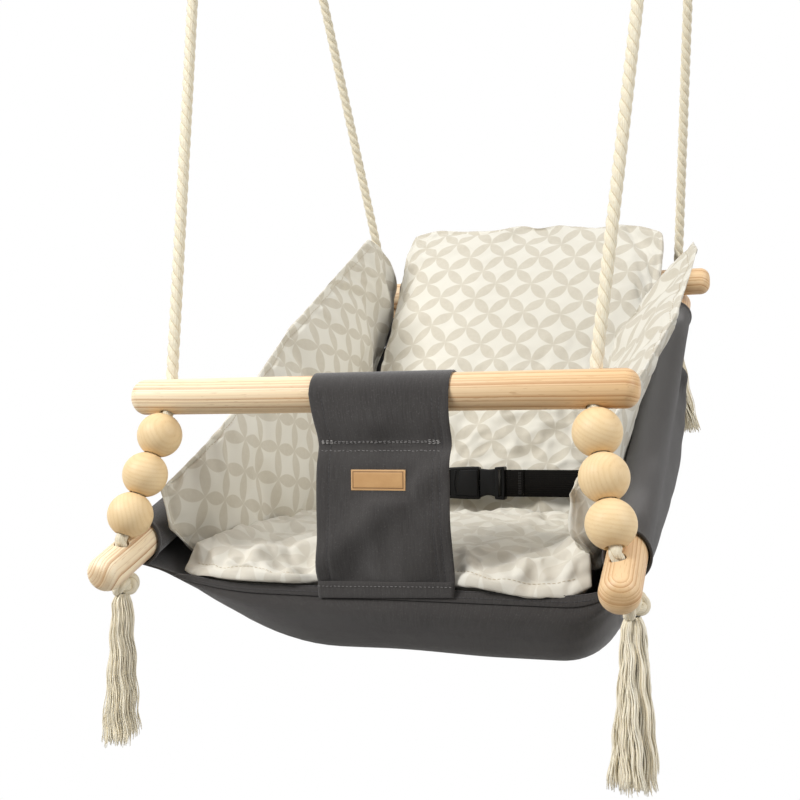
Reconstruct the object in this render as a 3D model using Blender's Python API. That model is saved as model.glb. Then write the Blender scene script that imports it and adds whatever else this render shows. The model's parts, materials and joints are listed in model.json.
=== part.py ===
"""A baby's hanging swing seat: a canvas sling with padded inserts between wooden bars, hung on four ropes."""

import math

import bmesh
import bpy
from mathutils import Matrix, Vector
from mathutils.bvhtree import BVHTree

for old in list(bpy.data.objects):
    bpy.data.objects.remove(old, do_unlink=True)

# Sizes in metres. Positions are set in the bar frame: origin at the front bar's centre, X to the right, Y back.
GAP = 0.0003  # between neighbours that touch

DOWEL_D = 0.028
DOWEL_END_R = 0.010
BAR_LENGTH = 0.400
BAR_TIP = 0.032  # from a rope hole to the bar's tip
SIDE_TIP_FRONT = 0.0328  # from a side bar's front hole to its tip
SIDE_TIP_REAR = 0.026
ROPE_D = 0.0098
ROPE_HOLE_D = 0.0112
BEAD_D = 0.035
BEAD_BORE_D = 0.0124
BEAD_COUNT = 3
BEAD_REST_ANGLE = 47.0  # degrees between the beads' line and a side bar, which the last bead nearly touches
ROPE_BEND_RISE = 0.0036  # the rope turns into a side bar's hole this far over the bar
BACK_BAR_Y = 0.4845
BACK_BAR_Z = 0.125
BACK_HOLE_X = 0.1665
BAR_CLEARANCE = 0.0015  # between the back bar and a side bar under it

EYE_LENGTH = 0.060
EYE_WIDTH = 0.040
EYE_START_FRONT = 0.395  # from the bar's hole along the rope
EYE_START_REAR = 0.378
TAIL_LENGTH = 0.030
WHIPPING_HEIGHT = 0.012
WHIPPING_WALL = 0.0015
RING_MEAN_R = 0.018
RING_WIRE_D = 0.006

KNOT_D = 0.024
KNOT_HEIGHT = 0.016
TASSEL_LENGTH_FRONT = 0.115
TASSEL_LENGTH_REAR = 0.106
TASSEL_TOP_D = 0.014
TASSEL_END_D = 0.033

CANVAS_T = 0.0016
SLEEVE_T = 0.0016
SLEEVE_START = 0.044  # along a side bar's axis, from where the beads' line meets it
SLEEVE_END = 0.562
BACK_SLEEVE_LENGTH = 0.290
STRAP_T = 0.0016
STRAP_WIDTH_TOP = 0.108
STRAP_WIDTH_LOW = 0.099
STRAP_CENTRE_X = 0.0125
STRAP_STITCH_Z = -0.037
LABEL_SIZE = (0.042, 0.0012, 0.015)
LABEL_Z = -0.0635
SOFT_SHIFT = 0.012  # the sling and its inserts sit this far to the right

WING_T = 0.013
BACK_CUSHION_T = 0.024
BACK_CUSHION_WIDTH = 0.296
BELT_WIDTH = 0.025
BELT_T = 0.0016
BELT_Y = 0.2605
BELT_Z = -0.080
BUCKLE_LENGTH = 0.060
BUCKLE_HEIGHT = 0.034
BUCKLE_T = 0.011
BUCKLE_X = 0.0045

DOWEL_R = DOWEL_D / 2
ROPE_R = ROPE_D / 2
SLEEVE_IN_R = DOWEL_R + GAP
SLEEVE_R = SLEEVE_IN_R + SLEEVE_T
SIDES = {"left": -1, "right": 1}

# Where the ropes run: upwards from each bar, and down through the beads
ROPE_UP_FRONT = Vector((0.0763, 0.2407, 0.9676)).normalized()
ROPE_UP_REAR = Vector((0.0895, -0.3313, 0.9393)).normalized()
COLUMN_DOWN = Vector((0.1780, -0.3370, -0.9245)).normalized()


def mirrored(vector, side):
    """The vector on the left (-1) or the right (1)."""
    return Vector((vector[0] * side, vector[1], vector[2]))


BEAD_FLAT = math.sqrt(BEAD_D**2 - BEAD_BORE_D**2)  # a bead's length along its bore
BEAD_PITCH = BEAD_FLAT + GAP
FIRST_BEAD = DOWEL_R + 0.0017 + BEAD_FLAT / 2
LAST_BEAD = FIRST_BEAD + BEAD_PITCH * (BEAD_COUNT - 1)
COLUMN_LENGTH = LAST_BEAD + (BEAD_D / 2 + DOWEL_R + GAP) / math.sin(math.radians(BEAD_REST_ANGLE))
FRONT_HOLE = Vector((BAR_LENGTH / 2 - BAR_TIP, 0, 0))
SIDE_FRONT = FRONT_HOLE + COLUMN_DOWN * COLUMN_LENGTH
BACK_HOLE = Vector((BACK_HOLE_X, BACK_BAR_Y, BACK_BAR_Z))
SIDE_REAR = BACK_HOLE - ROPE_UP_REAR * (DOWEL_D + BAR_CLEARANCE)
SIDE_SPAN = (SIDE_REAR - SIDE_FRONT).length
SIDE_DIRECTION = (SIDE_REAR - SIDE_FRONT) / SIDE_SPAN
PIVOT_FRONT = FRONT_HOLE + ROPE_UP_FRONT * (EYE_START_FRONT + EYE_LENGTH)
PIVOT_REAR = BACK_HOLE + ROPE_UP_REAR * (EYE_START_REAR + EYE_LENGTH)
# The part's origin is midway between the four rings' bearing points.
HANG_POINT = Vector((0, (PIVOT_FRONT.y + PIVOT_REAR.y) / 2, (PIVOT_FRONT.z + PIVOT_REAR.z) / 2))
# A side bar's front hole is drilled square through it, under the point where the rope leaves the beads' line.
SIDE_HOLE = (DOWEL_R + ROPE_BEND_RISE) / math.tan(math.radians(BEAD_REST_ANGLE))
SIDE_HOLE_DOWN = (COLUMN_DOWN - SIDE_DIRECTION * COLUMN_DOWN.dot(SIDE_DIRECTION)).normalized()


def side_bar_point(distance, side=1):
    """A point on a side bar's axis, measured back from where the beads' line meets it."""
    return mirrored(SIDE_FRONT + SIDE_DIRECTION * distance, side)


def side_bar_at(y):
    """The right side bar's axis at this distance back."""
    return side_bar_point((y - SIDE_FRONT.y) / SIDE_DIRECTION.y)


def look(name, colour, roughness, metallic=0.0):
    material = bpy.data.materials.new(name)
    material.use_nodes = True
    shader = material.node_tree.nodes["Principled BSDF"]
    shader.inputs["Base Color"].default_value = (*colour, 1)
    shader.inputs["Roughness"].default_value = roughness
    shader.inputs["Metallic"].default_value = metallic
    return material


PINE = (0.76, 0.55, 0.31)
BEECH = (0.74, 0.56, 0.34)
COTTON = (0.74, 0.64, 0.45)
CANVAS = (0.062, 0.058, 0.058)
PRINT = (0.69, 0.67, 0.60)
WEBBING = (0.006, 0.006, 0.006)
LEATHER = (0.50, 0.26, 0.08)
STEEL = (0.55, 0.55, 0.56)


def add(name, bm, origin, material, angle=40):
    """Turns a mesh made in the bar frame into an object with its origin at the given point of that frame."""
    bmesh.ops.recalc_face_normals(bm, faces=bm.faces)
    if bm.calc_volume(signed=True) < 0:
        bmesh.ops.reverse_faces(bm, faces=bm.faces)
    bmesh.ops.translate(bm, verts=bm.verts, vec=-Vector(origin))
    mesh = bpy.data.meshes.new(name)
    bm.to_mesh(mesh)
    bm.free()
    mesh.shade_smooth()
    mesh.set_sharp_from_angle(angle=math.radians(angle))
    obj = bpy.data.objects.new(name, mesh)
    obj.location = Vector(origin) - HANG_POINT
    obj.data.materials.append(material)
    bpy.context.collection.objects.link(obj)
    return obj


def frame_along(direction, point):
    """A matrix that lays the Z axis along a direction and puts the origin at a point."""
    turn = Vector((0, 0, 1)).rotation_difference(Vector(direction)).to_matrix().to_4x4()
    return Matrix.Translation(Vector(point)) @ turn


def turned(points, steps, matrix=None):
    """A closed solid turned about Z from points of (radius, height): a chain from axis to axis, or a ring of them."""
    bm = bmesh.new()
    verts = [bm.verts.new((r, 0, z)) for r, z in points]
    ring = min(r for r, z in points) > 1e-6
    ends = verts[1:] + verts[:1] if ring else verts[1:]
    edges = [bm.edges.new(pair) for pair in zip(verts, ends)]
    bmesh.ops.spin(
        bm, geom=verts + edges, cent=(0, 0, 0), axis=(0, 0, 1), angle=2 * math.pi, steps=steps, use_merge=True
    )
    bmesh.ops.remove_doubles(bm, verts=bm.verts, dist=1e-6)
    if matrix:
        bmesh.ops.transform(bm, matrix=matrix, verts=bm.verts)
    return bm


def cutter(name, bm):
    obj = add(name, bm, (0, 0, 0), CUTTER_LOOK)
    obj.hide_render = True
    obj.display_type = "WIRE"
    return obj


def cut(obj, tool):
    modifier = obj.modifiers.new(tool.name, "BOOLEAN")
    modifier.operation = "DIFFERENCE"
    modifier.solver = "EXACT"
    modifier.object = tool


def box(low, high, bevel=0.0):
    bm = bmesh.new()
    bmesh.ops.create_cube(bm, size=1)
    size = [b - a for a, b in zip(low, high)]
    middle = [(a + b) / 2 for a, b in zip(low, high)]
    bmesh.ops.scale(bm, vec=size, verts=bm.verts)
    bmesh.ops.translate(bm, vec=middle, verts=bm.verts)
    if bevel:
        bmesh.ops.bevel(bm, geom=bm.edges, offset=bevel, segments=2, profile=0.5, affect="EDGES")
    return bm


def smooth_path(knots, step):
    """Points about one step apart on a smooth curve through the knots."""
    points = [Vector(k) for k in knots]
    ends = [2 * points[0] - points[1]] + points + [2 * points[-1] - points[-2]]
    fine = [points[0]]
    for a, b, c, d in zip(ends, ends[1:], ends[2:], ends[3:]):
        for i in range(1, 13):
            t = i / 12
            fine.append(
                0.5
                * (2 * b + (c - a) * t + (2 * a - 5 * b + 4 * c - d) * t**2 + (3 * b - a - 3 * c + d) * t**3)
            )
    lengths = [0.0]
    for p, q in zip(fine, fine[1:]):
        lengths.append(lengths[-1] + (q - p).length)
    count = max(1, round(lengths[-1] / step))
    result = []
    at = 0
    for i in range(count + 1):
        target = lengths[-1] * i / count
        while at < len(fine) - 2 and lengths[at + 1] < target:
            at += 1
        span = lengths[at + 1] - lengths[at]
        result.append(fine[at].lerp(fine[at + 1], (target - lengths[at]) / span))
    return result


def rope(name, points, origin, diameter=ROPE_D):
    """A round rope along points of the bar frame."""
    curve = bpy.data.curves.new(name, "CURVE")
    curve.dimensions = "3D"
    curve.bevel_depth = diameter / 2
    curve.bevel_resolution = 2
    curve.use_fill_caps = True
    spline = curve.splines.new("POLY")
    spline.points.add(len(points) - 1)
    for item, point in zip(spline.points, points):
        item.co = (*(Vector(point) - Vector(origin)), 1)
    curve.materials.append(look(name, COTTON, 0.9))
    obj = bpy.data.objects.new(name, curve)
    obj.location = Vector(origin) - HANG_POINT
    bpy.context.collection.objects.link(obj)
    return obj


CUTTER_LOOK = look("cutter", (1, 0, 0), 0.5)


# Bars: turned dowels with rounded ends and two rope holes each
def dowel(name, start, end, holes):
    """A dowel between two tips, with (point, direction) rope holes."""
    length = (end - start).length
    profile = [(0, 0), (DOWEL_R - DOWEL_END_R, 0)]
    for i in range(1, 5):
        angle = math.pi / 2 * i / 4
        profile.append(
            (DOWEL_R - DOWEL_END_R * (1 - math.sin(angle)), DOWEL_END_R * (1 - math.cos(angle)))
        )
    profile += [(r, length - z) for r, z in reversed(profile)]
    bm = turned(profile, 18, frame_along(end - start, start))
    obj = add(name, bm, (start + end) / 2, look(name, PINE, 0.55))
    for i, (point, direction) in enumerate(holes):
        half = DOWEL_D
        rod = turned(
            [(0, -half), (ROPE_HOLE_D / 2, -half), (ROPE_HOLE_D / 2, half), (0, half)],
            14,
            frame_along(direction, point),
        )
        cut(obj, cutter(f"{name}_hole_{i}", rod))
    return obj


def front_hole_axis(side):
    """A front bar's hole leans halfway between the rope above it and the beads below it."""
    return mirrored((ROPE_UP_FRONT - COLUMN_DOWN).normalized(), side)


def column(side):
    """The beads' line, from the mouth of the front bar's hole down to the side bar: its start and direction."""
    start = mirrored(FRONT_HOLE, side) - front_hole_axis(side) * DOWEL_R
    return start, (mirrored(SIDE_FRONT, side) - start).normalized()


half_bar = Vector((BAR_LENGTH / 2, 0, 0))
dowel(
    "front_bar",
    -half_bar,
    half_bar,
    [(mirrored(FRONT_HOLE, s), front_hole_axis(s)) for s in SIDES.values()],
)
back_centre = Vector((0, BACK_BAR_Y, BACK_BAR_Z))
dowel(
    "back_bar",
    back_centre - half_bar,
    back_centre + half_bar,
    [(mirrored(BACK_HOLE, s), mirrored(ROPE_UP_REAR, s)) for s in SIDES.values()],
)
for word, s in SIDES.items():
    dowel(
        f"side_bar_{word}",
        side_bar_point(SIDE_HOLE - SIDE_TIP_FRONT, s),
        side_bar_point(SIDE_SPAN + SIDE_TIP_REAR, s),
        [
            (side_bar_point(SIDE_HOLE, s), mirrored(SIDE_HOLE_DOWN, s)),
            (mirrored(SIDE_REAR, s), mirrored(ROPE_UP_REAR, s)),
        ],
    )


# Beads: balls with a bore and a flat round each of its mouths, free to turn on the rope
def bead(name, centre, direction):
    edge = math.acos(BEAD_BORE_D / BEAD_D)
    profile = []
    for i in range(9):
        angle = -edge + 2 * edge * i / 8
        profile.append((BEAD_D / 2 * math.cos(angle), BEAD_D / 2 * math.sin(angle)))
    bm = turned(profile, 16, frame_along(direction, centre))
    add(name, bm, centre, look(name, BEECH, 0.45), 60)


for word, s in SIDES.items():
    start, down = column(s)
    for i in range(BEAD_COUNT):
        bead(f"bead_{word}_{i + 1}", start + down * (FIRST_BEAD - DOWEL_R + BEAD_PITCH * i), down)


# Ropes: an upper stretch with its eye on each ring, a lower stretch through the bars to its knot
def hanging_rope(name, foot, up, eye_start, side):
    """The upper stretch: from just over a bar to the eye, round it, and back down beside itself."""
    across = Vector((-side, 0, 0))
    half = EYE_WIDTH / 2
    beside = ROPE_D + GAP

    def at(out, along):
        return foot + up * along + across * out

    straight = [at(0, DOWEL_R + 0.0012), at(0, eye_start * 0.35), at(0, eye_start * 0.7), at(0, eye_start - 0.012)]
    loop = [
        at(0.0010, eye_start),
        at(half * 0.55, eye_start + EYE_LENGTH * 0.25),
        at(half * 0.94, eye_start + EYE_LENGTH * 0.52),
        at(half * 0.88, eye_start + EYE_LENGTH * 0.76),
        at(half * 0.50, eye_start + EYE_LENGTH * 0.945),
        at(0, eye_start + EYE_LENGTH),
        at(-half * 0.50, eye_start + EYE_LENGTH * 0.945),
        at(-half * 0.88, eye_start + EYE_LENGTH * 0.76),
        at(-half * 0.96, eye_start + EYE_LENGTH * 0.50),
        at(-half * 0.72, eye_start + EYE_LENGTH * 0.20),
        at(-beside - 0.0010, eye_start - 0.004),
    ]
    tail = [at(-beside, eye_start - 0.018), at(-beside, eye_start - TAIL_LENGTH)]
    lower = smooth_path(straight, 0.025)
    upper = smooth_path([straight[-1]] + loop + tail, 0.0115)
    pivot = foot + up * (eye_start + EYE_LENGTH)
    rope(name, lower + upper[1:], pivot)
    return pivot


def whipping(name, foot, up, eye_start, side):
    """A bound band that holds a rope and its tail together."""
    across = Vector((-side, 0, 0))
    middle = foot + up * (eye_start - 0.018) - across * (ROPE_D + GAP) / 2
    half = (ROPE_D + GAP) / 2
    outward = across.cross(up).normalized()
    bm = bmesh.new()
    rings = []
    for radius, low in (
        (ROPE_R + 3 * GAP, -1),
        (ROPE_R + 3 * GAP, 1),
        (ROPE_R + 3 * GAP + WHIPPING_WALL, 1),
        (ROPE_R + 3 * GAP + WHIPPING_WALL, -1),
    ):
        ring = []
        for i in range(18):
            angle = 2 * math.pi * (i + 0.5) / 18
            lean = half if math.cos(angle) > 0 else -half
            point = (
                middle
                + across * (lean + radius * math.cos(angle))
                + outward * radius * math.sin(angle)
                + up * low * WHIPPING_HEIGHT / 2
            )
            ring.append(bm.verts.new(point))
        rings.append(ring)
    for a, b in zip(rings, rings[1:] + rings[:1]):
        for i in range(18):
            j = (i + 1) % 18
            bm.faces.new((a[i], a[j], b[j], b[i]))
    add(name, bm, middle, look(name, COTTON, 0.85))


def hang_ring(name, pivot):
    """A round wire ring that stands in the YZ plane with the eye resting on its lowest point."""
    wire = RING_WIRE_D / 2
    centre = pivot + Vector((0, 0, RING_MEAN_R - wire - ROPE_R - 3 * GAP))
    profile = []
    for i in range(7):
        angle = 2 * math.pi * i / 7
        profile.append((RING_MEAN_R + wire * math.cos(angle), wire * math.sin(angle)))
    bm = turned(profile, 20, frame_along((1, 0, 0), centre))
    add(name, bm, centre, look(name, STEEL, 0.3, 1.0), 60)


def knot(name, centre, down):
    """A pulled-tight stopper knot: a flattened ball with turns of rope across it."""
    bm = bmesh.new()
    bmesh.ops.create_uvsphere(bm, u_segments=16, v_segments=9, radius=1)
    for v in bm.verts:
        spin = math.atan2(v.co.y, v.co.x)
        rise = v.co.z
        groove = 0.055 * math.cos(2 * spin + 4.2 * rise) * (1 - rise**4)
        v.co *= KNOT_D / 2 * (0.94 + groove)
        v.co.z *= KNOT_HEIGHT / KNOT_D
    bmesh.ops.transform(bm, matrix=frame_along(down, centre), verts=bm.verts)
    add(name, bm, centre, look(name, COTTON, 0.9), 80)


def tassel(name, centre, length):
    """A hank of unlaid strands that hangs plumb under its knot and flares to its trimmed end."""
    top = -KNOT_HEIGHT / 2 - 0.0022
    rows = [
        (0.00, 0.55),
        (0.03, 0.95),
        (0.12, 1.15),
        (0.30, 1.55),
        (0.55, 1.90),
        (0.80, 2.10),
        (0.97, TASSEL_END_D / TASSEL_TOP_D),
        (1.00, 2.05),
    ]
    profile = [(0, top)]
    profile += [(TASSEL_TOP_D / 2 * wide, top - length * along) for along, wide in rows]
    profile += [(0, top - length * 0.995)]
    bm = turned(profile, 18)
    for v in bm.verts:
        along = (top - v.co.z) / length
        spin = math.atan2(v.co.y, v.co.x)
        ridge = 1 + 0.10 * math.sin(9 * spin + 0.6) * min(1, along * 4)
        v.co.x *= ridge
        v.co.y *= ridge
    bmesh.ops.translate(bm, vec=centre, verts=bm.verts)
    add(name, bm, centre, look(name, COTTON, 0.95), 80)


for word, s in SIDES.items():
    foot = mirrored(FRONT_HOLE, s)
    pivot = mirrored(PIVOT_FRONT, s)
    up = (pivot - foot).normalized()
    hanging_rope(f"rope_front_{word}", foot, up, EYE_START_FRONT, s)
    whipping(f"whipping_front_{word}", foot, up, EYE_START_FRONT, s)
    hang_ring(f"hang_ring_front_{word}", pivot)

    start = column(s)[0]
    hole = side_bar_point(SIDE_HOLE, s)
    square = mirrored(SIDE_HOLE_DOWN, s)
    bend = hole - square * (DOWEL_R + ROPE_BEND_RISE)
    knots = [foot + front_hole_axis(s) * DOWEL_R * 0.9, foot - front_hole_axis(s) * DOWEL_R * 0.1]
    knots += [start.lerp(bend, f) for f in (0.03, 0.25, 0.5, 0.75, 0.93)]
    route = smooth_path(knots, 0.022)
    route += [bend - square * 0.0004, hole - square * (DOWEL_R + 0.0006), hole + square * (DOWEL_R + GAP)]
    rope(f"rope_lower_front_{word}", route, foot)
    knot_centre = hole + square * (DOWEL_R + KNOT_HEIGHT / 2 + 3 * GAP)
    knot(f"knot_front_{word}", knot_centre, square)
    tassel(f"tassel_front_{word}", knot_centre, TASSEL_LENGTH_FRONT)

    foot = mirrored(BACK_HOLE, s)
    up = mirrored(ROPE_UP_REAR, s)
    hanging_rope(f"rope_rear_{word}", foot, up, EYE_START_REAR, s)
    whipping(f"whipping_rear_{word}", foot, up, EYE_START_REAR, s)
    hang_ring(f"hang_ring_rear_{word}", mirrored(PIVOT_REAR, s))
    end = mirrored(SIDE_REAR, s) - up * (DOWEL_R + 0.0015)
    rope(f"rope_lower_rear_{word}", smooth_path([foot + up * DOWEL_R * 0.9, end], 0.022), foot)
    knot_centre = end - up * (KNOT_HEIGHT / 2 + GAP)
    knot(f"knot_rear_{word}", knot_centre, -up)
    tassel(f"tassel_rear_{word}", knot_centre, TASSEL_LENGTH_REAR)


# Canvas: sleeves round the bars, then one shell cut into a seat panel and two side panels
def sleeve(name, start, end, oblique=0.0):
    """A tube of canvas round a bar; oblique slants its mouth at the start."""
    direction = (end - start).normalized()
    matrix = frame_along(direction, start)
    length = (end - start).length
    profile = [(SLEEVE_IN_R, 0), (SLEEVE_R, 0)]
    profile += [(SLEEVE_R, length * i / 4) for i in range(1, 5)]
    profile += [(SLEEVE_IN_R, length)]
    bm = turned(profile, 18)
    for v in bm.verts:
        if v.co.z < 1e-6:
            v.co.z = oblique * (v.co.y / SLEEVE_R)
    bmesh.ops.transform(bm, matrix=matrix, verts=bm.verts)
    add(name, bm, (start + end) / 2, look(name, CANVAS, 0.85))


for word, s in SIDES.items():
    sleeve(f"sleeve_{word}", side_bar_point(SLEEVE_START, s), side_bar_point(SLEEVE_END, s), 0.005)
half_sleeve = Vector((BACK_SLEEVE_LENGTH / 2, 0, 0))
sleeve("sleeve_back", back_centre - half_sleeve, back_centre + half_sleeve)

# Rows of the sling from the front hem to the back bar: centre back and up, the bottom's reach to the left and right,
# the side bar's distance, the left and right corner radii, and the side's belly
SLING_ROWS = [
    (-0.0040, -0.1470, 0.1400, 0.1540, 0.046, 0.030, 0.026, 0.000),
    (-0.0080, -0.1590, 0.1340, 0.1560, 0.052, 0.045, 0.028, 0.000),
    (-0.0060, -0.1730, 0.1290, 0.1575, 0.060, 0.058, 0.030, 0.000),
    (0.0030, -0.1850, 0.1260, 0.1580, 0.072, 0.062, 0.031, 0.000),
    (0.0220, -0.1915, 0.1250, 0.1580, 0.092, 0.064, 0.032, 0.001),
    (0.0600, -0.1930, 0.1310, 0.1560, 0.130, 0.062, 0.034, 0.002),
    (0.1200, -0.1900, 0.1400, 0.1530, 0.188, 0.057, 0.036, 0.004),
    (0.2000, -0.1750, 0.1470, 0.1510, 0.268, 0.050, 0.036, 0.010),
    (0.2680, -0.1490, 0.1530, 0.1530, 0.340, 0.045, 0.036, 0.014),
    (0.3050, -0.1090, 0.1560, 0.1560, 0.395, 0.042, 0.036, 0.017),
    (0.3420, -0.0520, 0.1580, 0.1580, 0.440, 0.040, 0.034, 0.015),
    (0.3760, -0.0010, 0.1560, 0.1560, 0.474, 0.034, 0.030, 0.008),
    (0.4260, 0.0560, 0.1430, 0.1430, 0.516, 0.018, 0.018, 0.001),
    (0.4730, 0.1100, 0.1380, 0.1380, 0.560, 0.012, 0.012, 0.000),
]
BOTTOM_STEPS = 8
CORNER_STEPS = 4
SIDE_STEPS = 5


# Where round its sleeve a side panel is sewn: degrees below straight outwards, by distance along the bar
SEWN_AT = [(0.046, 85), (0.16, 45), (0.40, 50), (0.47, 95), (0.56, 172)]


def between(pairs, x):
    """A value read from (place, value) pairs by straight lines."""
    if x <= pairs[0][0]:
        return pairs[0][1]
    for (a, p), (b, q) in zip(pairs, pairs[1:]):
        if x <= b:
            return p + (q - p) * (x - a) / (b - a)
    return pairs[-1][1]


def half_section(row, side):
    """A half of a sling section from its middle outwards, as points."""
    y, z, left, right, distance, corner_left, corner_right, belly = row
    half = left if side < 0 else right
    shift = SOFT_SHIFT * max(0.0, min(1.0, (SLING_ROWS[-1][0] - y) / 0.1))
    middle = Vector((shift, y, z))
    corner = Vector((shift + half * side, y, z))
    around = math.radians(between(SEWN_AT, distance))
    reach = SLEEVE_R + CANVAS_T + 3 * GAP
    top = side_bar_point(distance, side) + Vector((side * math.cos(around), 0, -math.sin(around))) * reach
    radius = corner_left if side < 0 else corner_right
    radius = min(radius, 0.6 * (top - corner).length, 0.6 * half)
    start = corner + (middle - corner).normalized() * radius
    end = corner + (top - corner).normalized() * radius
    points = [middle.lerp(start, i * 2 / BOTTOM_STEPS) for i in range(BOTTOM_STEPS // 2)]
    for i in range(CORNER_STEPS):
        t = i / CORNER_STEPS
        points.append(start * (1 - t) ** 2 + corner * 2 * t * (1 - t) + end * t**2)
    across = (top - corner).normalized()
    outward = across.cross(Vector((0, 1, 0))) * -side
    outward = Vector((abs(outward.x) * side, outward.y, -abs(outward.z)))
    for i in range(SIDE_STEPS + 1):
        t = i / SIDE_STEPS
        points.append(end.lerp(top, t) + outward * belly * math.sin(math.pi * t))
    return points


def refined_rows(rows, parts):
    """Rows between the given ones, on a smooth curve through them."""
    result = []
    for a, b, c, d in zip([rows[0]] + rows, rows, rows[1:], rows[2:] + [rows[-1]]):
        for i in range(parts):
            t = i / parts
            result.append(
                [
                    0.5 * (2 * q + (r - p) * t + (2 * p - 5 * q + 4 * r - w) * t**2 + (3 * q - p - 3 * r + w) * t**3)
                    for p, q, r, w in zip(a, b, c, d)
                ]
            )
    return result + [list(rows[-1])]


def sling_grid():
    grid = []
    for row in refined_rows(SLING_ROWS, 2):
        left = half_section(row, -1)
        right = half_section(row, 1)
        grid.append(list(reversed(left)) + right[1:])
    return grid


def grid_normals(grid):
    """Unit normals of a grid of points, away from the sitter."""
    rows = len(grid)
    columns = len(grid[0])
    result = []
    for j in range(rows):
        line = []
        for i in range(columns):
            along = grid[min(j + 1, rows - 1)][i] - grid[max(j - 1, 0)][i]
            across = grid[j][min(i + 1, columns - 1)] - grid[j][max(i - 1, 0)]
            line.append(along.cross(across).normalized())
        result.append(line)
    return result


def sheet(grid, normals, near, far):
    """A closed solid between two offsets of a grid of points."""
    bm = bmesh.new()
    rows = len(grid)
    columns = len(grid[0])
    faces = []
    for offset in (near, far):
        faces.append([[bm.verts.new(p + n * offset) for p, n in zip(*pair)] for pair in zip(grid, normals)])
    one, two = faces
    for j in range(rows - 1):
        for i in range(columns - 1):
            bm.faces.new((one[j][i], one[j][i + 1], one[j + 1][i + 1], one[j + 1][i]))
            bm.faces.new((two[j][i], two[j + 1][i], two[j + 1][i + 1], two[j][i + 1]))
    for j in range(rows - 1):
        bm.faces.new((one[j][0], one[j + 1][0], two[j + 1][0], two[j][0]))
        bm.faces.new((one[j][-1], two[j][-1], two[j + 1][-1], one[j + 1][-1]))
    for i in range(columns - 1):
        bm.faces.new((one[0][i], two[0][i], two[0][i + 1], one[0][i + 1]))
        bm.faces.new((one[-1][i], one[-1][i + 1], two[-1][i + 1], two[-1][i]))
    return bm


sling = sling_grid()
sling_out = grid_normals(sling)
if sling_out[8][len(sling[0]) // 2].z > 0:
    sling_out = [[-n for n in line] for line in sling_out]


def sling_panel(name, first, last):
    """The part of the sling between two columns, each cut side drawn in for the seam."""
    grid = [list(line[first : last + 1]) for line in sling]
    for line in grid:
        if first > 0:
            line[0] = line[0] + (line[1] - line[0]).normalized() * GAP * 1.5
        if last < len(sling[0]) - 1:
            line[-1] = line[-1] + (line[-2] - line[-1]).normalized() * GAP * 1.5
    normals = [line[first : last + 1] for line in sling_out]
    bm = sheet(grid, normals, -CANVAS_T / 2, CANVAS_T / 2)
    add(name, bm, (0, 0.2, -0.1), look(name, CANVAS, 0.88), 50)


last_column = len(sling[0]) - 1
sling_panel("canvas_side_left", 0, SIDE_STEPS)
sling_panel("canvas_seat", SIDE_STEPS, last_column - SIDE_STEPS)
sling_panel("canvas_side_right", last_column - SIDE_STEPS, last_column)

# The hem: a folded band over the top of the front wall
hem_grid = [line[SIDE_STEPS : last_column - SIDE_STEPS + 1] for line in sling[0:3]]
hem_out = [line[SIDE_STEPS : last_column - SIDE_STEPS + 1] for line in sling_out[0:3]]
hem = sheet(hem_grid, hem_out, CANVAS_T / 2 + GAP, CANVAS_T * 1.5 + GAP)
add("front_hem", hem, (0, 0, -0.14), look("front_hem", CANVAS, 0.88), 50)


# The crotch strap: up from the hem, round the front bar and down its back to the stitching
def strap():
    path_r = DOWEL_R + GAP + STRAP_T / 2
    path = []
    low = SLING_ROWS[0][1] + STRAP_T
    low_y = SLING_ROWS[0][0] - CANVAS_T * 1.5
    for i in range(7):
        t = i / 7
        lean = (1 - t) ** 2
        path.append((-path_r * (1 - lean) + low_y * lean, low * (1 - t)))
    for i in range(13):
        angle = math.pi * i / 12
        path.append((-path_r * math.cos(angle), path_r * math.sin(angle)))
    join_y = -path_r + STRAP_T + GAP * 2
    path += [(path_r * 0.93, -0.008), (path_r * 0.55, -0.0165), (0.0, -0.0255), (join_y + 0.0012, -0.0325)]
    path += [(join_y, STRAP_STITCH_Z), (join_y, STRAP_STITCH_Z - 0.008)]
    bm = bmesh.new()
    rings = []
    for i, (y, z) in enumerate(path):
        before = Vector(path[max(i - 1, 0)])
        after = Vector(path[min(i + 1, len(path) - 1)])
        along = (after - before).normalized()
        out = Vector((-along.y, along.x)) * STRAP_T / 2
        half = STRAP_WIDTH_LOW / 2 + (STRAP_WIDTH_TOP - STRAP_WIDTH_LOW) / 2 * max(0, min(1, 1 - z / low))
        ring = []
        for side, face in ((-1, -1), (0, -1), (1, -1), (1, 1), (0, 1), (-1, 1)):
            ring.append(bm.verts.new((STRAP_CENTRE_X + side * half, y + out.x * face, z + out.y * face)))
        rings.append(ring)
    for a, b in zip(rings, rings[1:]):
        for i in range(6):
            j = (i + 1) % 6
            bm.faces.new((a[i], a[j], b[j], b[i]))
    bm.faces.new(rings[0])
    bm.faces.new(rings[-1])
    add("crotch_strap", bm, (STRAP_CENTRE_X, 0, 0), look("crotch_strap", CANVAS, 0.85), 50)


strap()
label_y = -DOWEL_R - GAP - STRAP_T - GAP - 0.0004 - LABEL_SIZE[1] / 2
half = [v / 2 for v in LABEL_SIZE]
label_centre = (STRAP_CENTRE_X + 0.001, label_y, LABEL_Z)
label = box([c - h for c, h in zip(label_centre, half)], [c + h for c, h in zip(label_centre, half)], 0.0004)
add("label_patch", label, label_centre, look("label_patch", LEATHER, 0.6))


# Cushions: closed padded forms with a crown, drawn in to the seam at their rim
def rim_profile(u, v, power=7):
    """How full a pad is at a place on it: 0 at its seam, 1 inside."""
    return ((1 - abs(2 * u - 1) ** power) * (1 - abs(2 * v - 1) ** power)) ** 0.42


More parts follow.
